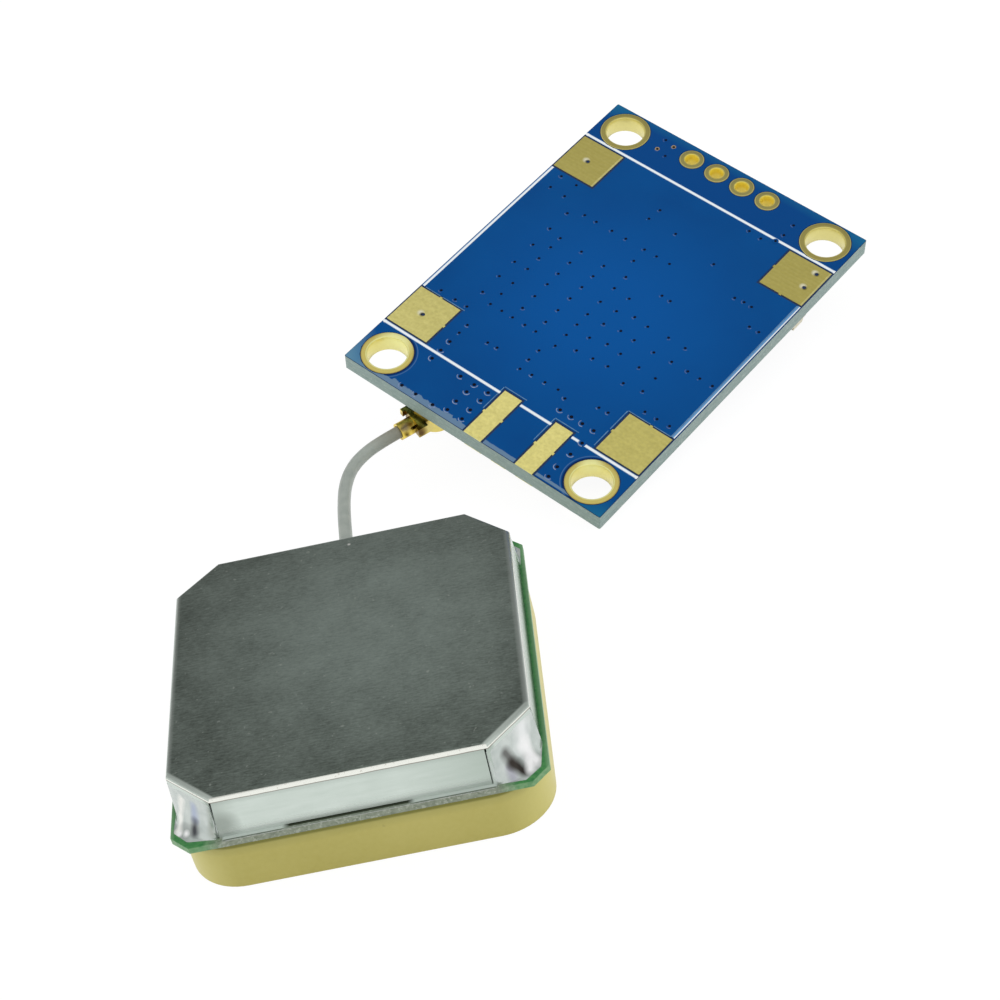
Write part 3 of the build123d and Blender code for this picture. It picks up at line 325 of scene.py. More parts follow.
antenna_green, green_shader = finish("antenna_laminate", 0.4, 0.0, 0.4)
green_point = point_mm(green_shader)
green_axes = axes_of(green_point)
green_wide = maths("ABSOLUTE", green_axes[0])
green_weave = place_group(grain, green_point, Size=0.3, Depth=0.02)
green_specks = place_group(specks, green_point, Size=0.2, Share=0.36)
green_face = drift(green_weave["Mask"], (44, 120, 62), (78, 146, 80))
green_rim = ramped(green_wide, 12.2, 12.45)
green_face = layered(green_face, (green_rim, 0.8, (128, 172, 128)))
green_edge = drift(green_weave["Mask"], (92, 150, 96), (134, 174, 126))
green_side = ramped(green_axes[2], 4.45, 4.51, 1.0, 0.0)
green_tone = mixed(green_side, green_face, green_edge)
grey_tone = drift(green_weave["Mask"], (122, 132, 114), (154, 163, 145))
grey_tone = layered(grey_tone, (green_specks["Mask"], 0.6, (186, 193, 178)))
grey_near = both(
    ramped(green_axes[1], -12.1, -12.0, 1.0, 0.0),
    ramped(green_wide, 9.0, 10.4, 1.0, 0.0),
)
green_tone = mixed(grey_near, green_tone, grey_tone)
feed(green_shader, Base_Color=green_tone, Normal=green_weave["Normal"])
dress("antenna_board", antenna_green)
dress("ground_strips", tin)

# The amplifier's parts, soldered on the antenna board under the can.
chip_black = grained("chip_moulding", (24, 24, 26), (40, 40, 42), 0.12, 0.01, 0.55)
filter_white = grained("filter_ceramic", (178, 166, 130), (204, 194, 160), 0.3, 0.01, 0.45)
chip_tan = grained("capacitor_ceramic", (138, 112, 82), (164, 136, 102), 0.2, 0.01, 0.5)
dress("band_filter", filter_white)
dress("amplifier_chip", chip_black)
dress("amplifier_leads", tin)
dress("antenna_chips", chip_tan)
dress("antenna_chip_ends", tin)

# The shield can: one sheet of tinned steel, 0.2 mm thick, folded down on eight sides. Its
# walls lean in a little, the flaps are parted by narrow seams, and the flaps end just above
# the board. The top is duller, and its dark tone is painted shade standing for the dark it
# reflects; the folded sides are bright.
can_foot, can_top, can_cut, can_sheet, can_bend = 24.3, 24.0, 3.0, 0.2, 0.35
seam_at, seam_half = 9.03, 0.06
near_seams = {-1: (-9.31, -9.03), 1: (8.78, 8.86)}
flap_gap, wide_gap, wide_gap_ends = 0.02, 0.1, (-4.9, 3.5)
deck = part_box("antenna_board")[1].z
can_height = (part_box("shield_can")[1].z - deck) / MM
can_level = deck / MM + can_height
half_foot = can_foot / 2
cut_out, cut_in, cut_under = 0.4, 0.6, 0.5
gate_x, gate_radius, gate_reach = -0.15, 0.65, 0.8


def band(value, low, high, soft=0.02):
    """1 where value lies between low and high, fading over soft."""
    up = ramped(value, low - soft, low + soft)
    down = ramped(value, high - soft, high + soft, 1.0, 0.0)
    return both(up, down)


def vector_maths(operation, *values):
    """One Vector Math node; each value is a vector or a socket."""
    node = wired("ShaderNodeVectorMath", *values)
    node.operation = operation
    return node.outputs


def near_spot(point, middle, radius):
    """1 at a point in millimetres, fading to 0 at a radius from it."""
    distance = vector_maths("DISTANCE", point, middle)["Value"]
    return ramped(distance, radius * 0.3, radius, 1.0, 0.0)


# streaks: a grain drawn out along one direction, as rolling or brushing leaves it
streaks, streaks_given, streaks_end = start_group(
    "streaks",
    (
        ("Point", "NodeSocketVector", None),
        ("Stretch", "NodeSocketVector", (1.0, 10.0, 1.0)),
        ("Depth", "NodeSocketFloat", 0.01),
    ),
    surface_sockets,
)
streaks_drawn = vector_maths("MULTIPLY", streaks_given["Point"], streaks_given["Stretch"])
streaks_noise = noisy(streaks_drawn["Vector"], Scale=1.0, Detail=5.0, Roughness=0.65)
give_surface(streaks_given, streaks_end, streaks_noise["Fac"])


def block(low, high, base=0.0):
    """A box between two corners in millimetres, lifted by a base height in metres."""
    middle = [(a + b) / 2 * MM for a, b in zip(low, high)]
    bpy.ops.object.select_all(action="DESELECT")
    bpy.ops.mesh.primitive_cube_add(
        size=1,
        location=(middle[0], middle[1], middle[2] + base),
        scale=[(b - a) * MM for a, b in zip(low, high)],
    )
    bpy.ops.object.transform_apply(location=True, rotation=True, scale=True)
    return bpy.context.object


def near_cutter(left, right, top):
    """A cutter through the can's near wall, from under its foot to a height above the board."""
    return block((left, -half_foot - cut_out, -cut_under), (right, cut_in - half_foot, top), deck)


def pick(kind, wanted):
    """In edit mode, selects only the parts of one kind that wanted says yes to."""
    bpy.ops.mesh.select_mode(type=kind)
    bpy.ops.mesh.select_all(action="DESELECT")
    bpy.ops.object.mode_set(mode="OBJECT")
    mesh = bpy.context.object.data
    parts = {"VERT": mesh.vertices, "EDGE": mesh.edges, "FACE": mesh.polygons}[kind]
    for part in parts:
        part.select = bool(wanted(part))
    bpy.ops.object.mode_set(mode="EDIT")


def ends(edge):
    """The two end points of an edge of the active mesh, in millimetres."""
    mesh = bpy.context.object.data
    return [mesh.vertices[i].co / MM for i in edge.vertices]


def upright(edge):
    """An edge that stands at one of the can's corners."""
    a, b = ends(edge)
    return abs(a.z - b.z) > 2.0


def highest(edge):
    """An edge round the can's top."""
    a, b = ends(edge)
    return min(a.z, b.z) > can_level - 0.01


folded_can = block((-half_foot, -half_foot, 0), (half_foot, half_foot, can_height), deck)
folded_can.name = "folded_can"
bpy.ops.object.mode_set(mode="EDIT")
pick("EDGE", upright)
bpy.ops.mesh.bevel(offset=can_cut * MM, segments=1)
pick("FACE", lambda face: face.normal.z > 0.9)
bpy.ops.transform.resize(value=(can_top / can_foot, can_top / can_foot, 1))
pick("FACE", lambda face: face.normal.z < -0.9)
bpy.ops.mesh.delete(type="FACE")
pick("EDGE", highest)
bpy.ops.mesh.bevel(offset=can_bend * MM, segments=5)
bpy.ops.object.mode_set(mode="OBJECT")
wall = folded_can.modifiers.new("sheet", "SOLIDIFY")
wall.thickness = can_sheet * MM
wall.offset = -1
wall.use_even_offset = True
bpy.ops.object.modifier_apply(modifier="sheet")
cutters = []
for quarter in range(4):
    turn = Matrix.Rotation(radians(90 * quarter), 4, "Z")
    for side in (-1, 1):
        seam = near_cutter(-seam_half, seam_half, can_height - can_bend)
        low, high = near_seams[side] if quarter == 0 else (side * seam_at, side * seam_at)
        for knot in seam.data.vertices:
            knot.co.x += (high if knot.co.z > deck else low) * MM
        seam.data.transform(turn)
        cutters.append(seam)
    gap = near_cutter(-seam_at, 0.97 * seam_at, flap_gap)
    gap.data.transform(turn)
    cutters.append(gap)
cutters.append(near_cutter(*wide_gap_ends, wide_gap))
bpy.ops.mesh.primitive_cylinder_add(
    vertices=32,
    radius=gate_radius * MM,
    depth=2 * gate_reach * MM,
    location=(gate_x * MM, half_foot * MM, deck + gate_radius * MM),
    rotation=(radians(90), 0, 0),
)
bpy.ops.object.transform_apply(location=True, rotation=True, scale=True)
cutters.append(bpy.context.object)
gate_low = (gate_x - gate_radius, half_foot - gate_reach, -cut_under)
gate_high = (gate_x + gate_radius, half_foot + gate_reach, gate_radius)
cutters.append(block(gate_low, gate_high, deck))
for cutter in cutters:
    bpy.ops.object.select_all(action="DESELECT")
    folded_can.select_set(True)
    bpy.context.view_layer.objects.active = folded_can
    cut = folded_can.modifiers.new("cut", "BOOLEAN")
    cut.operation = "DIFFERENCE"
    cut.object = cutter
    bpy.ops.object.modifier_apply(modifier="cut")
    bpy.data.objects.remove(cutter)
folded_can.data.shade_smooth()
bpy.ops.object.shade_smooth_by_angle(angle=radians(35))

# The top and the side bends take a darker copy of the can's metal: painted shade, a painted dark
# reflection.
can_shaded_top, dull_shader = finish("can_top", 0.42, 1.0)
dull_point = point_mm(dull_shader)
dull_axes = axes_of(dull_point)
dull_brush = place_group(streaks, dull_point, Stretch=(1.6, 7.0, 1.0), Depth=0.012)
dull_patch = place_group(grain, dull_point, Size=2.6, Depth=0.0)
dull_fine = place_group(grain, dull_point, Size=0.16, Depth=0.012)
dull_marks = place_group(specks, dull_point, Size=0.34, Share=0.07)
dull_wear = maths("MULTIPLY", dull_brush["Mask"], 0.5)
for wear, share in ((dull_fine["Mask"], 0.25), (dull_patch["Mask"], 0.35)):
    dull_wear = maths("ADD", dull_wear, maths("MULTIPLY", wear, share))
dull_wide = maths("ABSOLUTE", dull_axes[0])
dull_slant = maths("ADD", dull_wide, maths("ABSOLUTE", dull_axes[1]))
near_bend_highlight = both(ramped(dull_slant, 20.5, 20.68), ramped(dull_axes[1], 2.0, -2.0))
dull_tone = drift(dull_brush["Mask"], (71, 78, 71), (99, 108, 100))
# Layers over the brushing and wear: a wide lighter patch round the middle is a painted sheen, the
# side bends and near corner bends are lighter as painted highlights, and a small pale speck.
dull_tone = layered(
    dull_tone,
    (dull_patch["Mask"], 0.5, (90, 98, 91)),
    (near_spot(dull_point, (2.0, 2.5, can_level), 14.0), 0.75, (170, 184, 177)),
    (maths("SUBTRACT", 1.1, dull_wear), 0.46, (80, 88, 80)),
    (dull_wear, 0.46, (184, 198, 189)),
    (dull_marks["Mask"], 0.4, (205, 213, 204)),
    (ramped(dull_wide, 11.55, 11.95), 1.0, (190, 198, 192)),
    (near_bend_highlight, 1.0, (204, 214, 206)),
    (near_spot(dull_point, (0.6, 11.0, can_level), 0.16), 1.0, (250, 250, 245)),
)
feed(dull_shader, Base_Color=dull_tone, Normal=dull_fine["Normal"])

can_bright, bright_shader = finish("can_wall", 0.22, 1.0)
bright_point = point_mm(bright_shader)
bright_axes = axes_of(bright_point)
bright_brush = place_group(streaks, bright_point, Stretch=(0.35, 0.35, 3.0), Depth=0.004)
bright_smudge = place_group(grain, bright_point, Size=1.6, Depth=0.0)
bright_nicks = place_group(specks, bright_point, Size=0.2, Share=0.2)
bright_above = maths("SUBTRACT", bright_axes[2], deck / MM)
# Painted light on the flaps: the flap's left end and a spot near its foot carry painted shade, the
# side walls are darker and greenish low down as a painted reflection, and the flap is darker towards
# its right end and near its top.
bright_front = ramped(bright_axes[1], -11.6, -11.8)
bright_right = both(ramped(bright_axes[0], 3.0, 9.0), bright_front)
bright_left_shade = both(ramped(bright_axes[0], -7.4, -9.2), bright_front)
bright_upper = both(ramped(bright_above, 2.65, 3.0), bright_front)
bright_flank_reflection = both(
    ramped(maths("ABSOLUTE", bright_axes[0]), 11.6, 11.9),
    ramped(bright_above, 1.5, 0.2),
)
bright_shade_spot = near_spot(bright_point, (-8.7, -12.1, deck / MM + 1.1), 1.3)
crease_level = can_level - can_bend
crease_waver = maths("MULTIPLY", bright_smudge["Mask"], 0.04)
crease_height = maths("SUBTRACT", bright_axes[2], crease_waver)
crease = band(crease_height, crease_level - 0.05, crease_level)
# Just above the crease the bend is painted brighter: a painted highlight, with real nicks in it.
bend_highlight = ramped(crease_height, crease_level - 0.01, crease_level + 0.02)
rim_nicks = maths("MULTIPLY", bright_nicks["Mask"], 0.5)
bend_highlight_tone = drift(rim_nicks, (238, 240, 232), (188, 184, 172))
bright_tone = drift(bright_brush["Mask"], (198, 209, 201), (206, 216, 209))
bright_tone = layered(
    bright_tone,
    (bright_smudge["Mask"], 0.3, (188, 199, 191)),
    (bright_right, 0.7, (166, 179, 169)),
    (bright_left_shade, 0.45, (134, 146, 136)),
    (bright_upper, 0.4, (156, 168, 160)),
    (bright_flank_reflection, 0.85, (104, 124, 106)),
    (bright_shade_spot, 0.6, (132, 140, 132)),
)
bright_tone = mixed(bend_highlight, bright_tone, bend_highlight_tone)
bright_foot = both(bright_front, ramped(bright_above, 0.75, 0.3))
feed(
    bright_shader,
    Base_Color=layered(bright_tone, (crease, 0.8, (128, 108, 100))),
    Normal=bright_brush["Normal"],
    Metallic=ramped(bright_foot, 0.0, 1.0, 1.0, 0.12),
)
for coat in (can_shaded_top, can_bright):
    folded_can.data.materials.append(coat)
# The top and the side bends take the darker copy according to which way each face points: painted
# shade.
for face in folded_can.data.polygons:
    sideways = abs(face.normal.x) > 0.3 * abs(face.normal.y) and face.normal.z > 0.3
    face.material_index = 0 if face.normal.z > 0.8 or sideways else 1
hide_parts("shield_can")
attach(folded_can, "root")

# Solder at the can's foot: a glossy fillet drawn up each cut corner from a foot that is nearly
# square, and a low uneven ledge along the near flap, lower in the middle where a gap shows.
fillet_top = 2.75
can_shrink = 1 - can_top / can_foot


def along(points, share):
    """The point at a share of the way along a run of points."""
    runs = [(Vector(b) - Vector(a)).length for a, b in zip(points, points[1:])]
    left = share * sum(runs)
    for a, b, run in zip(points, points[1:], runs):
        if left <= run:
            return Vector(a).lerp(Vector(b), left / run)
        left -= run
    return Vector(points[-1])


def fillet_lines(quarter, height):
    """Where a corner's fillet leaves the can's wall at a height, and where it meets the board."""
    rise = height / (can_height - can_bend)
    shrink = 1 - can_shrink * height / can_height
    first = last = seam_at
    if quarter == 0:
        first = near_seams[1][0] * (1 - rise) + near_seams[1][1] * rise
    if quarter == 3:
        last = -near_seams[-1][0] * (1 - rise) - near_seams[-1][1] * rise
    wall = [
        ((first + seam_half) / shrink, -half_foot),
        (half_foot - can_cut + 0.02, -half_foot),
        (half_foot, can_cut - half_foot - 0.02),
        (half_foot, (-last - seam_half) / shrink),
    ]
    foot = [(first + 0.1, -12.22), (10.9, -12.3), (11.95, -11.35), (12.22, -last - 0.1)]
    return [Vector(point) * shrink for point in wall], foot


def thick_grid(across, down):
    """A grid that spans -1 to 1 both ways, with its twin a unit below it and sides between."""
    bpy.ops.object.select_all(action="DESELECT")
    bpy.ops.mesh.primitive_grid_add(x_subdivisions=across, y_subdivisions=down, size=2)
    bpy.ops.object.mode_set(mode="EDIT")
    bpy.ops.mesh.select_all(action="SELECT")
    bpy.ops.mesh.extrude_region_move(TRANSFORM_OT_translate={"value": (0, 0, -1)})
    bpy.ops.mesh.select_all(action="SELECT")
    bpy.ops.mesh.normals_make_consistent(inside=False)
    bpy.ops.object.mode_set(mode="OBJECT")
    return bpy.context.object


def joined(pieces, name):
    """Several pieces made into one, which stays active."""
    bpy.ops.object.select_all(action="DESELECT")
    for piece in pieces:
        piece.select_set(True)
    bpy.context.view_layer.objects.active = pieces[0]
    bpy.ops.object.join()
    bpy.context.object.name = name
    return bpy.context.object


fillet_bite, fillet_seat, fillet_swell, fillet_lift = 0.12, 0.015, 0.12, 0.005
corners = []
for quarter in range(4):
    fillet = thick_grid(28, 20)
    for knot in fillet.data.vertices:
        across = (knot.co.x + 1) / 2
        down = (knot.co.y + 1) / 2
        height = fillet_top * (1 - down) ** 1.8
        on_wall, on_board = fillet_lines(quarter, height)
        wall_point = along(on_wall, across)
        inward = -wall_point.normalized()
        if knot.co.z < -0.5:
            spot = wall_point + inward * fillet_bite
        else:
            spot = (wall_point + inward * fillet_seat).lerp(along(on_board, across), down**1.6)
            swell = down * (1 - down) * across * (1 - across) * 16
            place = Vector((spot.x, spot.y, height)) * 0.7 + Vector((quarter * 7, 0, 0))
            spot -= inward * noise.noise(place) * fillet_swell * swell
        knot.co = Vector((spot.x * MM, spot.y * MM, deck + (height + fillet_lift) * MM))
    fillet.data.transform(Matrix.Rotation(radians(90 * quarter), 4, "Z"))
    corners.append(fillet)
strip_top = (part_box("ground_strips")[1].z - deck) / MM
ledge_half, ledge_back, ledge_wide, ledge_lift = 9.0, -12.04, 0.45, 0.001
ledge = thick_grid(150, 6)
for knot in ledge.data.vertices:
    across = knot.co.x * ledge_half
    out = (knot.co.y + 1) / 2
    middle = max(0.0, min(1.0, (across + 5.4) / 0.8)) * max(0.0, min(1.0, (3.9 - across) / 0.6))
    lump = noise.noise(Vector((across * 1.1, out, 3.0))) * 0.5
    lump += noise.noise(Vector((across * 3.7, out * 2, 9.0))) * 0.4
    height = (1 - middle) * (0.03 + lump * 0.03) * (1 - out**4)
    level = 0.0 if knot.co.z < -0.5 else strip_top + max(height, 0.004)
    depth = ledge_back - ledge_wide * out
    knot.co = Vector((across * MM, depth * MM, deck + (ledge_lift + level) * MM))
drawn_solder = joined([ledge] + corners, "drawn_solder")
drawn_solder.data.shade_smooth()
bpy.ops.object.shade_smooth_by_angle(angle=radians(50))

solder, solder_shader = finish("solder", 0.2, 0.75)
solder_point = point_mm(solder_shader)
solder_axes = axes_of(solder_point)
solder_skin = place_group(grain, solder_point, Size=0.8, Depth=0.02)
solder_specks = place_group(specks, solder_point, Size=0.2, Share=0.4)
solder_near = both(
    ramped(solder_axes[1], -12.0, -11.9, 1.0, 0.0),
    ramped(maths("ABSOLUTE", solder_axes[0]), 8.9, 9.1, 1.0, 0.0),
)
solder_stir = noisy(solder_point, Scale=0.8, Detail=1.0)["Color"]
stir = Vector((0.22, 0.22, 0.22))
solder_stirred = vector_maths("MULTIPLY_ADD", solder_stir, 2 * stir, solder_point)["Vector"]
solder_stirred = vector_maths("SUBTRACT", solder_stirred, stir)["Vector"]


def near_run(point, first, second, radius):
    """1 along the line between two points in millimetres, fading to 0 at a radius from it."""
    run = Vector(second) - Vector(first)
    offset = vector_maths("SUBTRACT", point, first)["Vector"]
    share = vector_maths("DOT_PRODUCT", offset, run / run.length_squared)["Value"]
    share = maths("ADD", share, 0.0, clamp=True)
    foot = vector_maths("MULTIPLY_ADD", run, share, first)["Vector"]
    distance = vector_maths("DISTANCE", point, foot)["Value"]
    return ramped(distance, radius * 0.2, radius, 1.0, 0.0)


# On the fillets, the white runs and the sparkles are painted highlights, and the dark and tinted
# runs are painted reflections.
solder_tone = drift(solder_skin["Mask"], (186, 195, 191), (208, 215, 211))
glints = []
for first, second, radius, share, tone in (
    ((11.6, -9.8, 6.6), (11.9, -10.2, 5.4), 0.35, 0.5, (150, 160, 158)),
    ((11.2, -9.9, 6.9), (11.15, -10.5, 5.85), 0.95, 0.8, (252, 254, 254)),
    ((11.25, -10.4, 5.75), (11.4, -10.8, 4.95), 0.8, 0.98, (255, 255, 255)),
    ((11.4, -10.8, 4.95), (11.72, -10.85, 4.6), 0.62, 0.98, (255, 255, 255)),
    ((10.1, -11.75, 5.2), (10.05, -12.0, 4.7), 0.5, 0.6, (156, 152, 172)),
    ((9.97, -11.38, 6.26), (10.27, -11.48, 5.4), 0.6, 0.85, (82, 80, 78)),
    ((10.27, -11.48, 5.4), (10.85, -11.6, 4.62), 0.58, 0.98, (50, 43, 38)),
    ((11.4, -10.95, 4.9), (11.25, -11.5, 4.6), 0.5, 0.98, (255, 255, 255)),
    ((-11.32, -9.98, 6.5), (-11.72, -10.2, 5.2), 0.45, 0.9, (252, 252, 246)),
    ((-11.72, -10.2, 5.2), (-11.92, -10.9, 4.6), 0.45, 0.9, (252, 252, 246)),
    ((-10.45, -10.9, 6.5), (-10.6, -11.2, 5.6), 0.5, 0.65, (160, 172, 206)),
    ((-10.7, -11.3, 5.5), (-10.75, -11.45, 4.75), 0.5, 0.9, (62, 62, 70)),
    ((-9.5, -12.1, 6.6), (-9.6, -12.2, 5.0), 0.5, 0.5, (150, 154, 140)),
):
    mark = both(near_run(solder_stirred, first, second, radius), share)
    solder_tone = layered(solder_tone, (mark, 1.0, tone))
    if min(tone) > 240:
        glints.append(mark)
for sparkle in ((-11.35, -11.25, 4.6), (-11.92, -11.06, 4.56)):
    mark = near_spot(solder_point, sparkle, 0.34)
    solder_tone = layered(solder_tone, (mark, 1.0, (255, 255, 255)))
    glints.append(mark)
solder_glint = glints[0]
for glint in glints[1:]:
    solder_glint = maths("MAXIMUM", solder_glint, glint)
ledge_off = maths("ABSOLUTE", maths("ADD", solder_axes[0], 0.7))
ledge_end = ramped(ledge_off, 3.9, 4.4)
ledge_edge = ramped(ledge_end, 0.0, 1.0, 12.33, 12.46)
ledge_line = maths("ADD", solder_axes[1], ledge_edge)
ledge_shade = drift(ledge_end, (52, 60, 42), (92, 104, 88))
ledge_lit = both(ramped(solder_axes[1], -12.42, -12.38), ledge_end)
dull_specks = maths("MULTIPLY", solder_specks["Mask"], 0.6)
dull_solder = drift(dull_specks, (136, 146, 130), (184, 192, 178))
dull_solder = mixed(ramped(ledge_line, -0.03, 0.02), dull_solder, ledge_shade)
dull_solder = layered(dull_solder, (ledge_lit, 1.0, (206, 216, 209)))
feed(
    solder_shader,
    Base_Color=mixed(solder_near, solder_tone, dull_solder),
    Roughness=ramped(solder_near, 0.0, 1.0, 0.2, 0.5),
    Metallic=both(
        ramped(solder_near, 0.0, 1.0, 0.6, 0.15),
        ramped(solder_glint, 0.0, 1.0, 1.0, 0.15),
    ),
    Normal=solder_skin["Normal"],
)
drawn_solder.data.materials.append(solder)
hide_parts("can_solder")
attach(drawn_solder, "root")

# The lead's stripped ends, and the solder that grips braid and wire inside the can.
dress(
    "braid_ends",
    grained("braid", (150, 146, 130), (190, 186, 168), 0.12, 0.04, 0.4, metallic=1.0),
)
dress("core_ends", grained("core", (222, 220, 212), (236, 234, 228), 0.5, 0.0, 0.35))
dress("wire_ends", tin)
dress("lead_solder", tin)

# The receiver board: glass laminate, grey green at its cut edges. Its own plane is read from
# the four mounting holes, and everything on the board is placed and patterned from it.
holes = {mount["name"]: Vector(mount["pos_m"]) for mount in frame["record"]["mounts"]}
across_board = (holes["header_right_hole"] - holes["header_left_hole"]).normalized()
up_board = (holes["header_left_hole"] - holes["socket_left_hole"]).normalized()
off_board = across_board.cross(up_board)
board_centre = (
    holes["header_left_hole"]
    + holes["header_right_hole"]
    + holes["socket_left_hole"]
    + holes["socket_right_hole"]
) / 4
board_place = Matrix((across_board, up_board, off_board)).transposed().to_4x4()
board_turn = tuple(board_place.to_euler("XYZ"))
board_place.translation = board_centre
laminate_skin = 0.72
mask_skin = 0.75
copper_skin = 0.77
mount_x, mount_y = 10.1, 15.25


def board_mm(shader):
    """Millimetres on the board: x across it, y to its header edge, z off its plain face."""
    return point_mm(shader, tuple(board_centre), board_turn)


laminate, laminate_shader = finish("laminate", 0.5, 0.0, 0.4)
laminate_point = board_mm(laminate_shader)
laminate_plies = place_group(streaks, laminate_point, Stretch=(0.8, 0.8, 9.0), Depth=0.02)
laminate_glass = place_group(specks, laminate_point, Size=0.25, Share=0.35)
laminate_deep = maths("ABSOLUTE", axes_of(laminate_point)[2])
laminate_face = ramped(laminate_deep, laminate_skin - 0.002, laminate_skin - 0.0005)
laminate_tone = drift(laminate_plies["Mask"], (126, 150, 146), (166, 186, 180))
laminate_tone = layered(
    laminate_tone,
    (laminate_glass["Mask"], 0.4, (186, 198, 190)),
    (laminate_face, 1.0, (14, 46, 90)),
)
feed(laminate_shader, Base_Color=laminate_tone, Normal=laminate_plies["Normal"])
dress("board_laminate", laminate)

# Blue solder mask on both faces: a thin glossy coat over copper, darker along the header edge,
# teal where no copper lies under it, and pale where the copper's edge shows at the near side.
blue_mask, mask_shader = finish("blue_mask", 0.22, 0.0, 0.08)
mask_point = board_mm(mask_shader)
mask_axes = axes_of(mask_point)
mask_drift = place_group(grain, mask_point, Size=5.0, Depth=0.0)
mask_ripple = place_group(grain, mask_point, Size=1.4, Depth=0.006)
mask_nibble = place_group(grain, mask_point, Size=0.45, Depth=0.0)
mask_wide = maths("ABSOLUTE", mask_axes[0])
mask_high = maths("ABSOLUTE", mask_axes[1])
mask_down = maths("MULTIPLY", mask_axes[1], -1.0)


def step_length(x, y):
    """How long a step of x one way and y the other is."""
    return maths("SQRT", maths("ADD", both(x, x), both(y, y)))


def from_mount(axes):
    """The distance in millimetres from the middle of the nearest mounting hole."""
    x = maths("SUBTRACT", maths("ABSOLUTE", axes[0]), mount_x)
    y = maths("SUBTRACT", maths("ABSOLUTE", axes[1]), mount_y)
    return step_length(x, y)


mask_teal = maths(
    "MAXIMUM",
    both(ramped(mask_wide, 8.6, 12.4), ramped(mask_high, 15.6, 17.4)),
    ramped(mask_axes[1], 16.6, 17.5, 0.0, 0.5),
)
mask_slant = maths("SUBTRACT", mask_down, mask_axes[0])
mask_hole = from_mount(mask_axes)
# On the inner, lower side of each mounting hole only: a dark band in the clearance, a painted
# shadow, and a pale arc just outside it, a painted highlight on the copper's edge.
mask_inner = both(ramped(mask_wide, mount_x + 0.5, mount_x - 0.5), ramped(mask_down, 0.0, 1.0))
mask_side = both(
    band(mask_axes[0], 12.3, 12.38),
    ramped(mask_down, -8.45, -8.35),
    ramped(mask_down, 8.4, 8.3),
)
mask_ragged = both(
    ramped(mask_nibble["Mask"], 0.0, 1.0, -0.26, 0.02),
    ramped(mask_axes[0], 0.6, 1.1, 1.0, 0.25),
)
mask_start = ramped(mask_axes[0], 0.0, 1.5, 17.06, 17.12)
mask_start = maths("ADD", mask_start, mask_ragged)
mask_stop = ramped(mask_axes[0], 4.0, 6.5, 0.0, 0.12)
mask_strip = both(
    ramped(maths("SUBTRACT", mask_down, mask_start), -0.02, 0.03),
    ramped(maths("ADD", mask_down, mask_stop), 17.48, 17.44),
    ramped(mask_axes[0], 9.6, 10.6, 1.0, 0.0),
    ramped(mask_axes[0], -11.6, -10.4),
)
mask_tone = layered(
    drift(mask_drift["Mask"], (0, 72, 138), (0, 78, 145)),
    (near_spot(mask_point, (0.5, -1.5, mask_skin), 13.0), 1.0, (2, 84, 158)),
    (ramped(mask_axes[1], 12.9, 13.3), 0.9, (0, 69, 136)),
    (mask_teal, 1.0, (24, 106, 150)),
    (ramped(mask_slant, 26.3, 29.6), 0.9, (98, 144, 172)),
    (both(band(mask_hole, 2.0, 2.26, 0.04), mask_inner), 0.85, (6, 30, 82)),
    (both(band(mask_hole, 2.36, 2.41, 0.03), mask_inner), 0.6, (110, 140, 180)),
    (mask_side, 0.85, (4, 30, 66)),
    (mask_strip, 0.85, (114, 142, 168)),
    (ramped(mask_axes[0], 12.585, 12.592), 1.0, (150, 180, 184)),
)
feed(mask_shader, Base_Color=mask_tone, Normal=mask_ripple["Normal"])
dress("face_mask", blue_mask)
dress("underside_mask", blue_mask)

# Plated vias under the mask: each a low ring that the mask has filled, with a dark dimple.
via_places = [
    (-6.85, -16.55), (-5.85, -16.3), (-6.8, -15.3), (-5.8, -15.05), (7.05, -15.2), (7.05, -13.85),
    (6.9, -12.9), (4.6, -12.5), (5.8, -12.4), (-2.45, -9.9), (-2.6, -8.6), (0.1, -8.6),
    (4.45, -7.85), (-11.15, -7.95), (-9.55, -7.9), (-11.1, -6.45), (-9.55, -6.35), (7.85, -6.0),
    (8.7, -6.1), (9.45, -6.05), (-8.2, -5.0), (-0.8, -4.2), (10.5, -4.3), (11.4, -4.3),
    (3.2, -2.65), (4.05, -2.6), (-5.8, 6.4), (-3.45, 6.4), (9.2, 7.5), (10.35, 7.5),
    (11.5, 7.45), (-10.95, 7.7), (-9.45, 7.75), (-8.25, 7.75), (-0.95, 7.75), (-1.0, 8.95),
    (-0.95, 10.1), (0.15, 10.0), (1.4, 9.95), (2.65, 9.9), (3.6, 10.25), (6.2, 9.35),
    (7.05, 9.3), (-4.6, 9.6), (-3.7, 9.55), (-4.1, 13.5), (-2.75, 13.5), (-1.4, 13.45),
    (-2.75, 14.4), (-1.35, 14.4), (-2.8, 15.6), (-1.4, 15.6), (-2.8, 16.65), (-1.35, 16.65),
    (7.3, 12.85), (7.25, 14.2), (7.2, 15.75), (7.25, 16.85),
]
via_rows = {
    -5.7: (-6.95, -5.75, -4.15, -2.75, -0.85, 0.35, 1.65),
    2.3: (9.4, 10.55, 11.75),
    11.35: (4.0, 5.1, 6.15, 7.25),
    17.0: (-7.1, -5.7, -4.0),
}
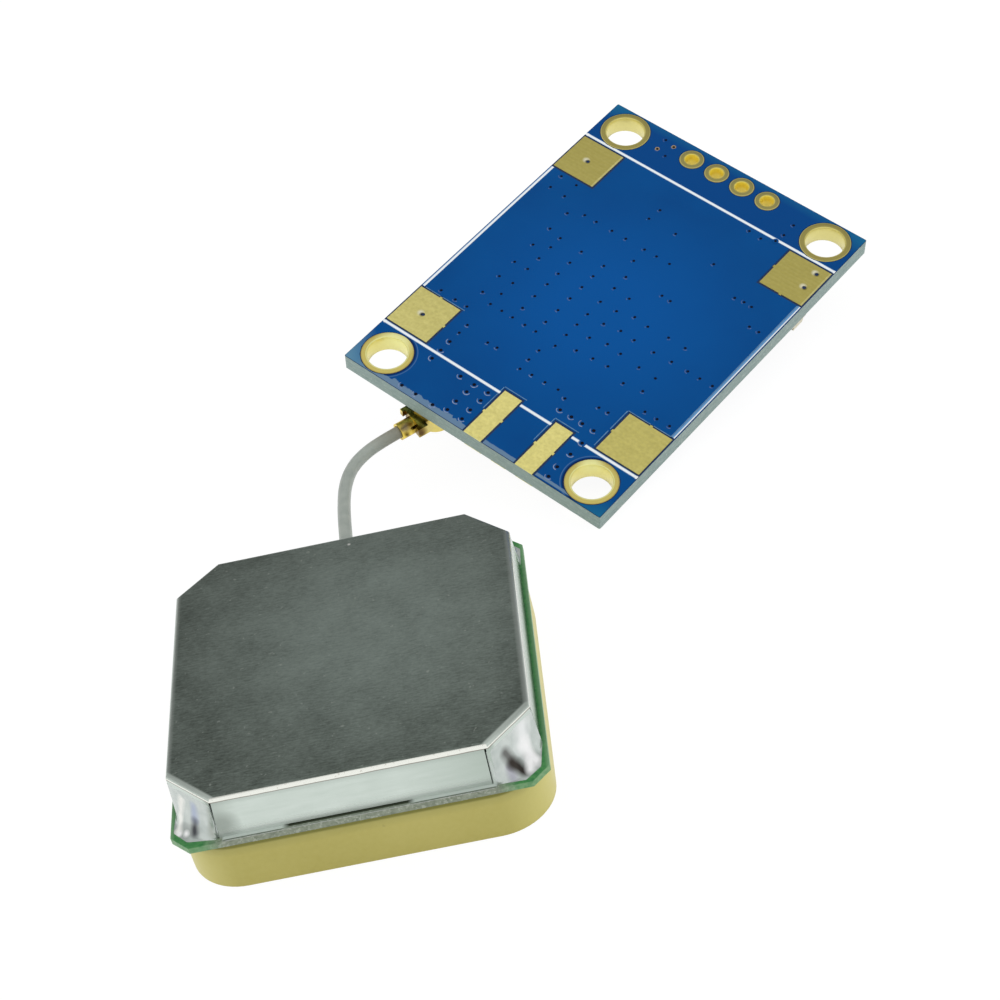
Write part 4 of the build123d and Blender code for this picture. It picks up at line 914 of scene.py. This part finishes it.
via_columns = {
    -8.25: (-2.8, -0.6, 1.75, 3.7, 5.8),
    -6.95: (-2.5, -1.25, 0.25, 1.7, 3.6, 5.05, 6.4),
    -4.7: (-2.4, -0.9, 0.6, 2.0, 3.6, 5.15, 6.4),
    -2.35: (-2.3, -0.9, 0.55, 2.05, 3.6, 5.15, 6.4),
    -0.25: (-2.45, -0.95, 0.85, 2.5, 3.85, 5.2, 6.6),
    1.35: (-0.8, 0.85, 2.5, 4.3, 5.95),
    2.85: (0.45, 2.25, 3.95, 5.8),
    4.25: (0.6, 2.35, 4.1, 5.7),
    6.2: (0.5, 2.4, 4.3, 6.3),
    7.85: (0.55, 2.3, 4.4, 6.0),
    -7.0: (9.2, 10.2, 11.35, 12.45, 13.5),
}
via_places += [(x, y) for y, row in via_rows.items() for x in row]
via_places += [(x, y) for x, column in via_columns.items() for y in column]
bare_vias = ((-5.85, -16.3), (-6.8, -15.3))
near_line, ink_low, ink_high = 11.0, 12.7, 13.2
via_radius, via_rim, via_slope, via_lip, via_rise, via_dip = 0.33, 0.08, 0.06, 0.04, 0.022, 0.02
via_crown = via_radius - via_rim
# The pale crescent on one side of each via's ring is a painted highlight, brighter towards the
# board's near edge.
via_crescent_highlight, halo_shader = finish("via_crescent_highlight", 0.28, 0.4)
halo_point = board_mm(halo_shader)
halo_skin = place_group(grain, halo_point, Size=0.25, Depth=0.0)
halo_near = ramped(axes_of(halo_point)[1], -8.0, -12.0)
halo_low = drift(halo_near, (50, 80, 140), (92, 116, 164))
halo_high = drift(halo_near, (98, 118, 168), (158, 176, 210))
feed(halo_shader, Base_Color=mixed(halo_skin["Mask"], halo_low, halo_high))
via_bare = grained("via_bare", (150, 128, 96), (196, 172, 130), 0.1, 0.0, 0.4, metallic=0.4)
via_dark = grained("via_dimple", (6, 8, 22), (14, 14, 34), 0.1, 0.0, 0.6, specular=0.1)
bpy.ops.object.select_all(action="DESELECT")
bpy.ops.mesh.primitive_circle_add(vertices=20, radius=via_radius * MM, fill_type="NGON")
first_via = bpy.context.object
for coat in (blue_mask, via_crescent_highlight, via_dark, via_bare):
    first_via.data.materials.append(coat)
bpy.ops.object.mode_set(mode="EDIT")
bpy.ops.mesh.select_all(action="SELECT")
bpy.ops.mesh.inset(thickness=via_rim * MM)
bpy.ops.transform.translate(value=(0, 0, via_rise * MM))
bpy.ops.mesh.inset(thickness=via_slope * MM)
bpy.ops.mesh.inset(thickness=via_lip * MM)
bpy.ops.transform.translate(value=(0, 0, -via_dip * MM))
first_via.active_material_index = 2
bpy.ops.object.material_slot_assign()
bpy.ops.object.mode_set(mode="OBJECT")
first_via.data.shade_smooth()
vias = []
for x, y in via_places:
    via = first_via.copy()
    via.data = first_via.data.copy()
    lean = noise.noise(Vector((x * 0.9, y * 0.9, 0.0))) * 1.4 - 0.3
    facing = Vector((sin(lean), -cos(lean), 0.0))
    close = y > near_line
    narrow = 0.25 if close else 0.78 - 0.5 * noise.noise(Vector((x * 2.1, y * 2.1, 4.0)))
    # Ring faces on the side that faces the light take the painted highlight.
    for face in via.data.polygons:
        out = face.center.length / MM
        if out > via_crown and face.center.normalized().dot(facing) > narrow:
            face.material_index = 1
        if (x, y) in bare_vias and 0.05 < out < via_crown:
            face.material_index = 3
    size = 1.0 if close else 0.8
    on_ink = ink_low < abs(y) < ink_high
    height = mask_skin + (0.019 if on_ink else -0.0015)
    via.data.transform(Matrix.Scale(size, 4, (1, 0, 0)) @ Matrix.Scale(size, 4, (0, 1, 0)))
    via.data.transform(Matrix.Translation((x * MM, -y * MM, height * MM)))
    bpy.context.scene.collection.objects.link(via)
    vias.append(via)
bpy.data.objects.remove(first_via)
filled_vias = joined(vias, "filled_vias")
filled_vias.data.transform(board_place)
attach(filled_vias, "root")

# Edges of the copper under the mask, beside the pads: low ridges that catch the light.
ridge_runs = [
    (-12.1, 8.2, -10.65, 8.2), (-10.3, 8.2, -8.15, 8.2), (8.2, 8.2, 10.25, 8.2),
    (10.6, 8.2, 12.2, 8.2), (8.12, 8.3, 8.12, 10.4), (8.12, 10.7, 8.12, 12.4),
    (-0.7, 12.2, 1.4, 12.2), (4.25, 12.2, 6.45, 12.2), (-0.76, 12.3, -0.76, 14.8),
    (4.2, 12.3, 4.2, 14.8), (12.2, -8.3, 12.2, 8.2),
]
ridge_half, ridge_rise, ridge_round = 0.035, 0.009, 0.006
ridges = []
for left, top, right, bottom in ridge_runs:
    ridge = block(
        (left - ridge_half, -bottom - ridge_half, mask_skin - ridge_rise),
        (right + ridge_half, ridge_half - top, mask_skin + ridge_rise),
    )
    bpy.ops.object.mode_set(mode="EDIT")
    bpy.ops.mesh.select_all(action="SELECT")
    bpy.ops.mesh.bevel(offset=ridge_round * MM, segments=1)
    bpy.ops.object.mode_set(mode="OBJECT")
    ridges.append(ridge)
copper_ridges = joined(ridges, "copper_ridges")
copper_ridges.data.transform(board_place)
# The ridges' pale tone is partly the copper under the thin mask and partly a painted highlight.
copper_ridges.data.materials.append(
    grained("copper_edge_and_highlight", (70, 118, 160), (110, 152, 186), 0.4, 0.0, 0.3)
)
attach(copper_ridges, "root")

# Gold on the plain face: bare pads, whose surface shows faint ripples across the board, with
# four small open vias in the corner pads. The plated holes with their rings follow them.
pad_gold, pad_shader = finish("pad_gold", 0.4, 0.75)
pad_point = board_mm(pad_shader)
pad_axes = axes_of(pad_point)
pad_grain = place_group(grain, pad_point, Size=0.28, Depth=0.01)
pad_waver = place_group(streaks, pad_point, Stretch=(0.6, 2.2, 1.0), Depth=0.0)
pad_phase = maths(
    "ADD",
    maths("MULTIPLY", pad_axes[1], 17.0),
    maths("MULTIPLY", pad_waver["Mask"], 4.0),
)
pad_bands = ramped(maths("SINE", pad_phase), -1.0, 1.0)
# Painted light on the pads: the middle pads, brighter and less metallic, and thin bands at two pad
# edges are painted highlights; the pads darken towards the header edge as painted shade.
pad_middle_highlight = both(ramped(maths("ABSOLUTE", pad_axes[0]), 7.5, 7.0), ramped(pad_axes[1], 0.0, -1.0))
pad_edge_highlight = both(
    maths("MAXIMUM", band(pad_axes[0], -8.58, -8.4), band(pad_axes[0], 12.32, 12.5)),
    ramped(pad_axes[1], 0.0, 1.0),
)
pad_layers = [
    (ramped(pad_axes[1], -12.0, 10.0), 1.0, (203, 191, 104)),
    (pad_middle_highlight, 1.0, (255, 244, 152)),
    (pad_edge_highlight, 0.6, (252, 244, 170)),
    (pad_bands, 0.07, (255, 246, 180)),
    (ramped(pad_waver["Mask"], 0.3, 1.0), 0.16, (176, 164, 84)),
    (pad_grain["Mask"], 0.3, (176, 164, 84)),
]
open_vias = ((-10.5, 10.6), (11.5, 12.0), (11.55, 10.25), (-10.55, -10.55))
for x, y in open_vias:
    lit = near_spot(pad_point, (x - 0.16, y + 0.05, copper_skin), 0.36)
    hole = near_spot(pad_point, (x + 0.03, y - 0.03, copper_skin), 0.27)
    pad_layers += [(lit, 1.0, (255, 252, 220)), (hole, 1.0, (14, 14, 12))]
pad_right = ramped(pad_axes[0], -6.0, 9.0)
pad_tone = drift(pad_right, (248, 238, 150), (234, 223, 130))
feed(
    pad_shader,
    Base_Color=layered(pad_tone, *pad_layers),
    Metallic=ramped(pad_middle_highlight, 0.0, 1.0, 0.75, 0.5),
    Normal=pad_grain["Normal"],
)
for node in ("corner_pads", "edge_pads", "socket_pads"):
    dress(node, pad_gold)


def ringed(from_hole, inner, *rings):
    """Gold that starts in one colour at its hole's middle and changes at rings of a radius."""
    steps = [(ramped(from_hole, r - 0.02, r + 0.02), 1.0, colour) for r, colour in rings]
    return layered(shade(*inner), *steps)


def turned_rings(name, hole, ring, barrel, places):
    """Plated holes through the board: one turned outline, set at each place and joined."""
    lip = 0.02
    outline = [
        (hole, copper_skin - 2 * lip), (hole + lip, copper_skin - lip / 4),
        (hole + 2 * lip, copper_skin), (ring - lip, copper_skin), (ring, copper_skin - lip / 2),
        (ring, laminate_skin), (barrel, laminate_skin),
    ]
    outline += [(radius, -height) for radius, height in reversed(outline)]
    mesh = bpy.data.meshes.new(name)
    mesh.from_pydata(
        [(radius * MM, 0, height * MM) for radius, height in outline],
        [(i, (i + 1) % len(outline)) for i in range(len(outline))],
        [],
    )
    first = bpy.data.objects.new(name, mesh)
    bpy.context.scene.collection.objects.link(first)
    bpy.ops.object.select_all(action="DESELECT")
    first.select_set(True)
    bpy.context.view_layer.objects.active = first
    bpy.ops.object.mode_set(mode="EDIT")
    bpy.ops.mesh.select_all(action="SELECT")
    bpy.ops.mesh.spin(steps=48, angle=2 * pi, center=(0, 0, 0), axis=(0, 0, 1))
    bpy.ops.mesh.select_all(action="SELECT")
    bpy.ops.mesh.remove_doubles(threshold=0.0001 * MM)
    bpy.ops.mesh.normals_make_consistent(inside=False)
    bpy.ops.object.mode_set(mode="OBJECT")
    first.data.shade_smooth()
    bpy.ops.object.shade_smooth_by_angle(angle=radians(50))
    copies = []
    for x, y in places:
        copy = first.copy()
        copy.data = first.data.copy()
        copy.data.transform(board_place @ Matrix.Translation((x * MM, y * MM, 0)))
        bpy.context.scene.collection.objects.link(copy)
        copies.append(copy)
    bpy.data.objects.remove(first)
    return joined(copies, name)


header_pitch, header_line = 2.54, 16.07
mount_hole, mount_ring, mount_barrel = 1.6, 2.08, 1.72
header_hole, header_ring, header_barrel = 0.56, 1.02, 0.68
ring_gold, ring_shader = finish("mount_gold", 0.3, 0.75)
ring_point = board_mm(ring_shader)
ring_axes = axes_of(ring_point)
ring_from = from_mount(ring_axes)
ring_skin = place_group(grain, ring_point, Size=0.4, Depth=0.008)
ring_far = ringed(
    ring_from,
    (232, 222, 144),
    (1.62, (220, 209, 124)),
    (1.69, (176, 164, 92)),
    (2.03, (226, 216, 134)),
)
# The near and far rings are two copies with their own tones, picked by place; the near copy's bright
# inner rim and two bright spots are painted highlights.
ring_near_lit = ringed(
    ring_from,
    (238, 228, 140),
    (1.62, (255, 252, 170)),
    (1.72, (230, 213, 119)),
    (2.0, (214, 194, 106)),
)
ring_highlight = maths(
    "MAXIMUM",
    near_spot(ring_point, (-mount_x - 0.3, -mount_y + 1.8, copper_skin), 2.0),
    near_spot(ring_point, (mount_x - 1.2, -mount_y + 1.4, copper_skin), 1.2),
)
ring_near_lit = layered(ring_near_lit, (ring_highlight, 1.0, (255, 252, 172)))
ring_above = ramped(ring_axes[1], -1.0, 1.0)
feed(
    ring_shader,
    Base_Color=mixed(ring_above, ring_near_lit, ring_far),
    Metallic=ramped(ring_highlight, 0.0, 1.0, 0.75, 0.45),
    Normal=ring_skin["Normal"],
)
mount_places = [(x, y) for x in (-mount_x, mount_x) for y in (-mount_y, mount_y)]
plated_mounts = turned_rings("plated_mounts", mount_hole, mount_ring, mount_barrel, mount_places)
plated_mounts.data.materials.append(ring_gold)
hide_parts("mount_plating")
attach(plated_mounts, "root")

header_gold, header_shader = finish("header_gold", 0.3, 0.75)
header_point = board_mm(header_shader)
header_axes = axes_of(header_point)
header_skin = place_group(grain, header_point, Size=0.3, Depth=0.01)
header_x = header_axes[0]
for step in (header_pitch, header_pitch / 2):
    header_x = maths("SUBTRACT", maths("ABSOLUTE", header_x), step)
header_y = maths("SUBTRACT", header_axes[1], header_line)
header_from = step_length(header_x, header_y)
header_tone = ringed(
    header_from,
    (250, 230, 92),
    (0.58, (228, 212, 112)),
    (0.66, (168, 160, 98)),
    (0.94, (216, 204, 128)),
)
feed(
    header_shader,
    Base_Color=header_tone,
    Metallic=ramped(header_from, header_hole, 0.6, 0.25, 0.75),
    Normal=header_skin["Normal"],
)
header_places = [(header_pitch * step, header_line) for step in (-1.5, -0.5, 0.5, 1.5)]
plated_header = turned_rings(
    "plated_header", header_hole, header_ring, header_barrel, header_places
)
plated_header.data.materials.append(header_gold)
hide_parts("header_plating")
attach(plated_header, "root")

# White lines printed on the mask, thinner and bluish towards their edges.
white_ink, ink_shader = finish("white_ink", 0.5)
ink_axes = axes_of(board_mm(ink_shader))
ink_from = None
for axis, middle, half in ((1, 13.05, 0.14), (1, -12.88, 0.14), (0, -12.35, 0.125), (0, 12.5, 0.1)):
    ink_off = maths("ABSOLUTE", maths("SUBTRACT", ink_axes[axis], middle))
    ink_off = maths("DIVIDE", ink_off, half)
    ink_from = ink_off if ink_from is None else maths("MINIMUM", ink_from, ink_off)
ink_thin = ramped(ink_from, 0.45, 1.05)
feed(ink_shader, Base_Color=drift(ink_thin, (250, 254, 255), (96, 150, 200)))
dress("printed_lines", white_ink)

# The receiver under the board: a carrier with plated notches, its joints and its drawn lid.
def brushed(name, dark, light, stretch, depth, roughness):
    """Sheet metal that drifts between two tones in streaks, drawn out along the board."""
    material, shader = finish(name, roughness, 1.0)
    surface = place_group(streaks, board_mm(shader), Stretch=stretch, Depth=depth)
    tone = drift(surface["Mask"], dark, light)
    feed(shader, Base_Color=tone, Normal=surface["Normal"])
    return material


dress("receiver_carrier", grained("carrier", (30, 78, 62), (44, 96, 74), 0.3, 0.01, 0.4))
dress("receiver_joints", tin)
dress(
    "receiver_lid",
    brushed("lid_steel", (176, 178, 174), (206, 208, 204), (0.5, 9.0, 1.0), 0.006, 0.3),
)
dress("receiver_chip", chip_black)
dress("receiver_oscillator", filter_white)

# The coaxial connector pair at the board's near edge: the socket's moulded base, ring, lugs
# and pin, and the lead's plug of folded gold-plated sheet, with its crimp round the cable.
moulded_white = grained("pale_moulding", (214, 210, 198), (232, 228, 218), 0.4, 0.01, 0.5)
plug_gold, plug_shader = finish("plug_gold", 0.2, 1.0)
plug_point = point_mm(plug_shader)
plug_skin = place_group(grain, plug_point, Size=0.35, Depth=0.012)
# The brown specks are painted dark reflections in the gold; in the marks below, the pale ones are
# painted highlights and the brown and grey-brown ones painted reflections.
plug_dark_reflection = place_group(specks, plug_point, Size=0.7, Share=0.42)
plug_layers = [(plug_dark_reflection["Mask"], 0.6, (112, 84, 10))]
mark_lean, mark_half = 0.12, 0.99
for x, y, radius, share, tone in (
    (6.5, 28.1, 0.9, 0.9, (208, 194, 122)),
    (7.4, 27.8, 0.9, 0.8, (216, 204, 124)),
    (4.56, 28.8, 0.66, 0.9, (122, 110, 88)),
    (4.64, 27.84, 0.26, 0.85, (66, 44, 4)),
    (4.64, 30.3, 0.6, 0.9, (96, 66, 6)),
    (6.12, 29.04, 0.4, 0.85, (118, 90, 24)),
    (5.0, 29.1, 0.45, 0.9, (104, 76, 16)),
    (5.6, 28.3, 0.72, 0.95, (84, 56, 4)),
    (5.8, 27.6, 0.6, 0.95, (84, 56, 4)),
):
    start, stop = (x - mark_lean, y + mark_half, 3.6), (x + mark_lean, y - mark_half, 5.0)
    plug_layers.append((near_run(plug_point, start, stop, radius), share, tone))
plug_tone = drift(plug_skin["Mask"], (222, 190, 62), (250, 226, 110))
feed(plug_shader, Base_Color=layered(plug_tone, *plug_layers), Normal=plug_skin["Normal"])
for node in ("socket_shell", "socket_lugs", "socket_pin", "plug_shell", "plug_contact"):
    dress(node, plug_gold)
for node in ("socket_base", "plug_insulator"):
    dress(node, moulded_white)

# The backup cell: a nickelled steel cup and cap parted by a black gasket, with welded tabs.
cell_steel = brushed("cell_steel", (186, 186, 184), (214, 214, 212), (0.8, 12.0, 1.0), 0.008, 0.28)
for node in ("cell_cup", "cell_cap", "cell_tabs"):
    dress(node, cell_steel)
dress("cell_gasket", chip_black)

# Memory chip, voltage regulator and protection diode: black mouldings with tinned leads.
for node in ("memory_chip", "regulator", "diode_body"):
    dress(node, chip_black)
for node in ("memory_leads", "regulator_leads", "diode_tabs"):
    dress(node, tin)

# The status lamp, whose cream lens peeks out under the right edge.
dress("lamp_base", moulded_white)
dress("lamp_lens", grained("lamp_lens", (226, 216, 176), (242, 234, 202), 0.4, 0.01, 0.3))

# Chip resistors, capacitors and the choke, with their tinned ends.
dress("resistor_bodies", grained("resistor_glaze", (30, 30, 34), (48, 48, 52), 0.2, 0.01, 0.35))
dress("capacitor_bodies", chip_tan)
dress("choke_body", grained("ferrite", (44, 42, 42), (64, 62, 60), 0.15, 0.02, 0.6))
dress("chip_ends", tin)

# The pale floor that the module lies on, and soft studio light from both sides.
def either(share, first, second):
    """One Mix Shader node between what two nodes give; the share is a socket."""
    return wired("ShaderNodeMixShader", share, first.outputs[0], second.outputs[0])


floor_drop, floor_shown = 0.00002, 0.86
bpy.ops.object.select_all(action="DESELECT")
bpy.ops.mesh.primitive_plane_add(size=3.0, location=(0, 0, -floor_drop))
floor = bpy.context.object
floor.name = "floor"
floor_paint = bpy.data.materials.new("floor")
floor_paint.use_nodes = True
floor_tree = floor_paint.node_tree
floor_tree.nodes.clear()
floor_end = floor_tree.nodes.new("ShaderNodeOutputMaterial")
floor_matt = floor_tree.nodes.new("ShaderNodeBsdfDiffuse")
feed(floor_matt, Color=(0.86, 0.86, 0.86, 1))
floor_glow = floor_tree.nodes.new("ShaderNodeEmission")
feed(floor_glow, Color=(1, 1, 1, 1), Strength=1.08)
floor_path = floor_tree.nodes.new("ShaderNodeLightPath").outputs
floor_seen = maths("MAXIMUM", floor_path["Is Glossy Ray"], floor_path["Is Transmission Ray"])
floor_seen = maths("MAXIMUM", floor_path["Is Camera Ray"], floor_seen)
floor_share = maths("MULTIPLY", floor_seen, floor_shown)
floor_mix = either(floor_share, floor_matt, floor_glow)
feed(floor_end, Surface=floor_mix.outputs[0])
floor.data.materials.append(floor_paint)

box_aim, box_size = Vector((0.01, 0.02, 0)), 0.6
for name, place, power in (
    ("left_softbox", (-0.46, -0.04, 0.42), 1.0),
    ("right_softbox", (0.48, 0.0, 0.40), 1.1),
):
    bpy.ops.object.light_add(type="AREA", location=place)
    softbox = bpy.context.object
    softbox.name = name
    softbox.data.energy = power
    softbox.data.size = box_size
    softbox.visible_glossy = False
    softbox.rotation_euler = (box_aim - Vector(place)).to_track_quat("-Z", "Y").to_euler()

world = bpy.data.worlds.new("studio")
bpy.context.scene.world = world
world.use_nodes = True
world_tree = world.node_tree
world_tree.nodes.clear()
world_end = world_tree.nodes.new("ShaderNodeOutputWorld")
world_where = world_tree.nodes.new("ShaderNodeTexCoord")
world_axes = axes_of(world_where.outputs["Generated"])
world_wide = maths("ABSOLUTE", world_axes[0])
world_back = ramped(world_axes[2], 0.02, 0.3, 0.55, 0.36)
for glow in (ramped(world_axes[2], 0.7, 0.86, 0.0, 0.26), ramped(world_wide, 0.55, 0.8, 0.0, 0.12)):
    world_back = maths("ADD", world_back, glow)
world_front = ramped(world_axes[1], -0.36, -0.5)
world_mirror, world_light, world_white = [
    world_tree.nodes.new("ShaderNodeBackground") for part in range(3)
]
feed(world_mirror, Color=mixed(world_front, world_back, (1, 1, 1, 1)))
feed(world_light, Color=ramped(world_axes[2], -0.2, 1.0, 0.85, 0.5))
feed(world_white, Color=(1, 1, 1, 1))
world_path = world_tree.nodes.new("ShaderNodeLightPath").outputs
world_soft = either(world_path["Is Glossy Ray"], world_light, world_mirror)
world_mix = either(world_path["Is Camera Ray"], world_soft, world_white)
feed(world_end, Surface=world_mix.outputs[0])

bpy.context.scene.view_settings.view_transform = "Standard"
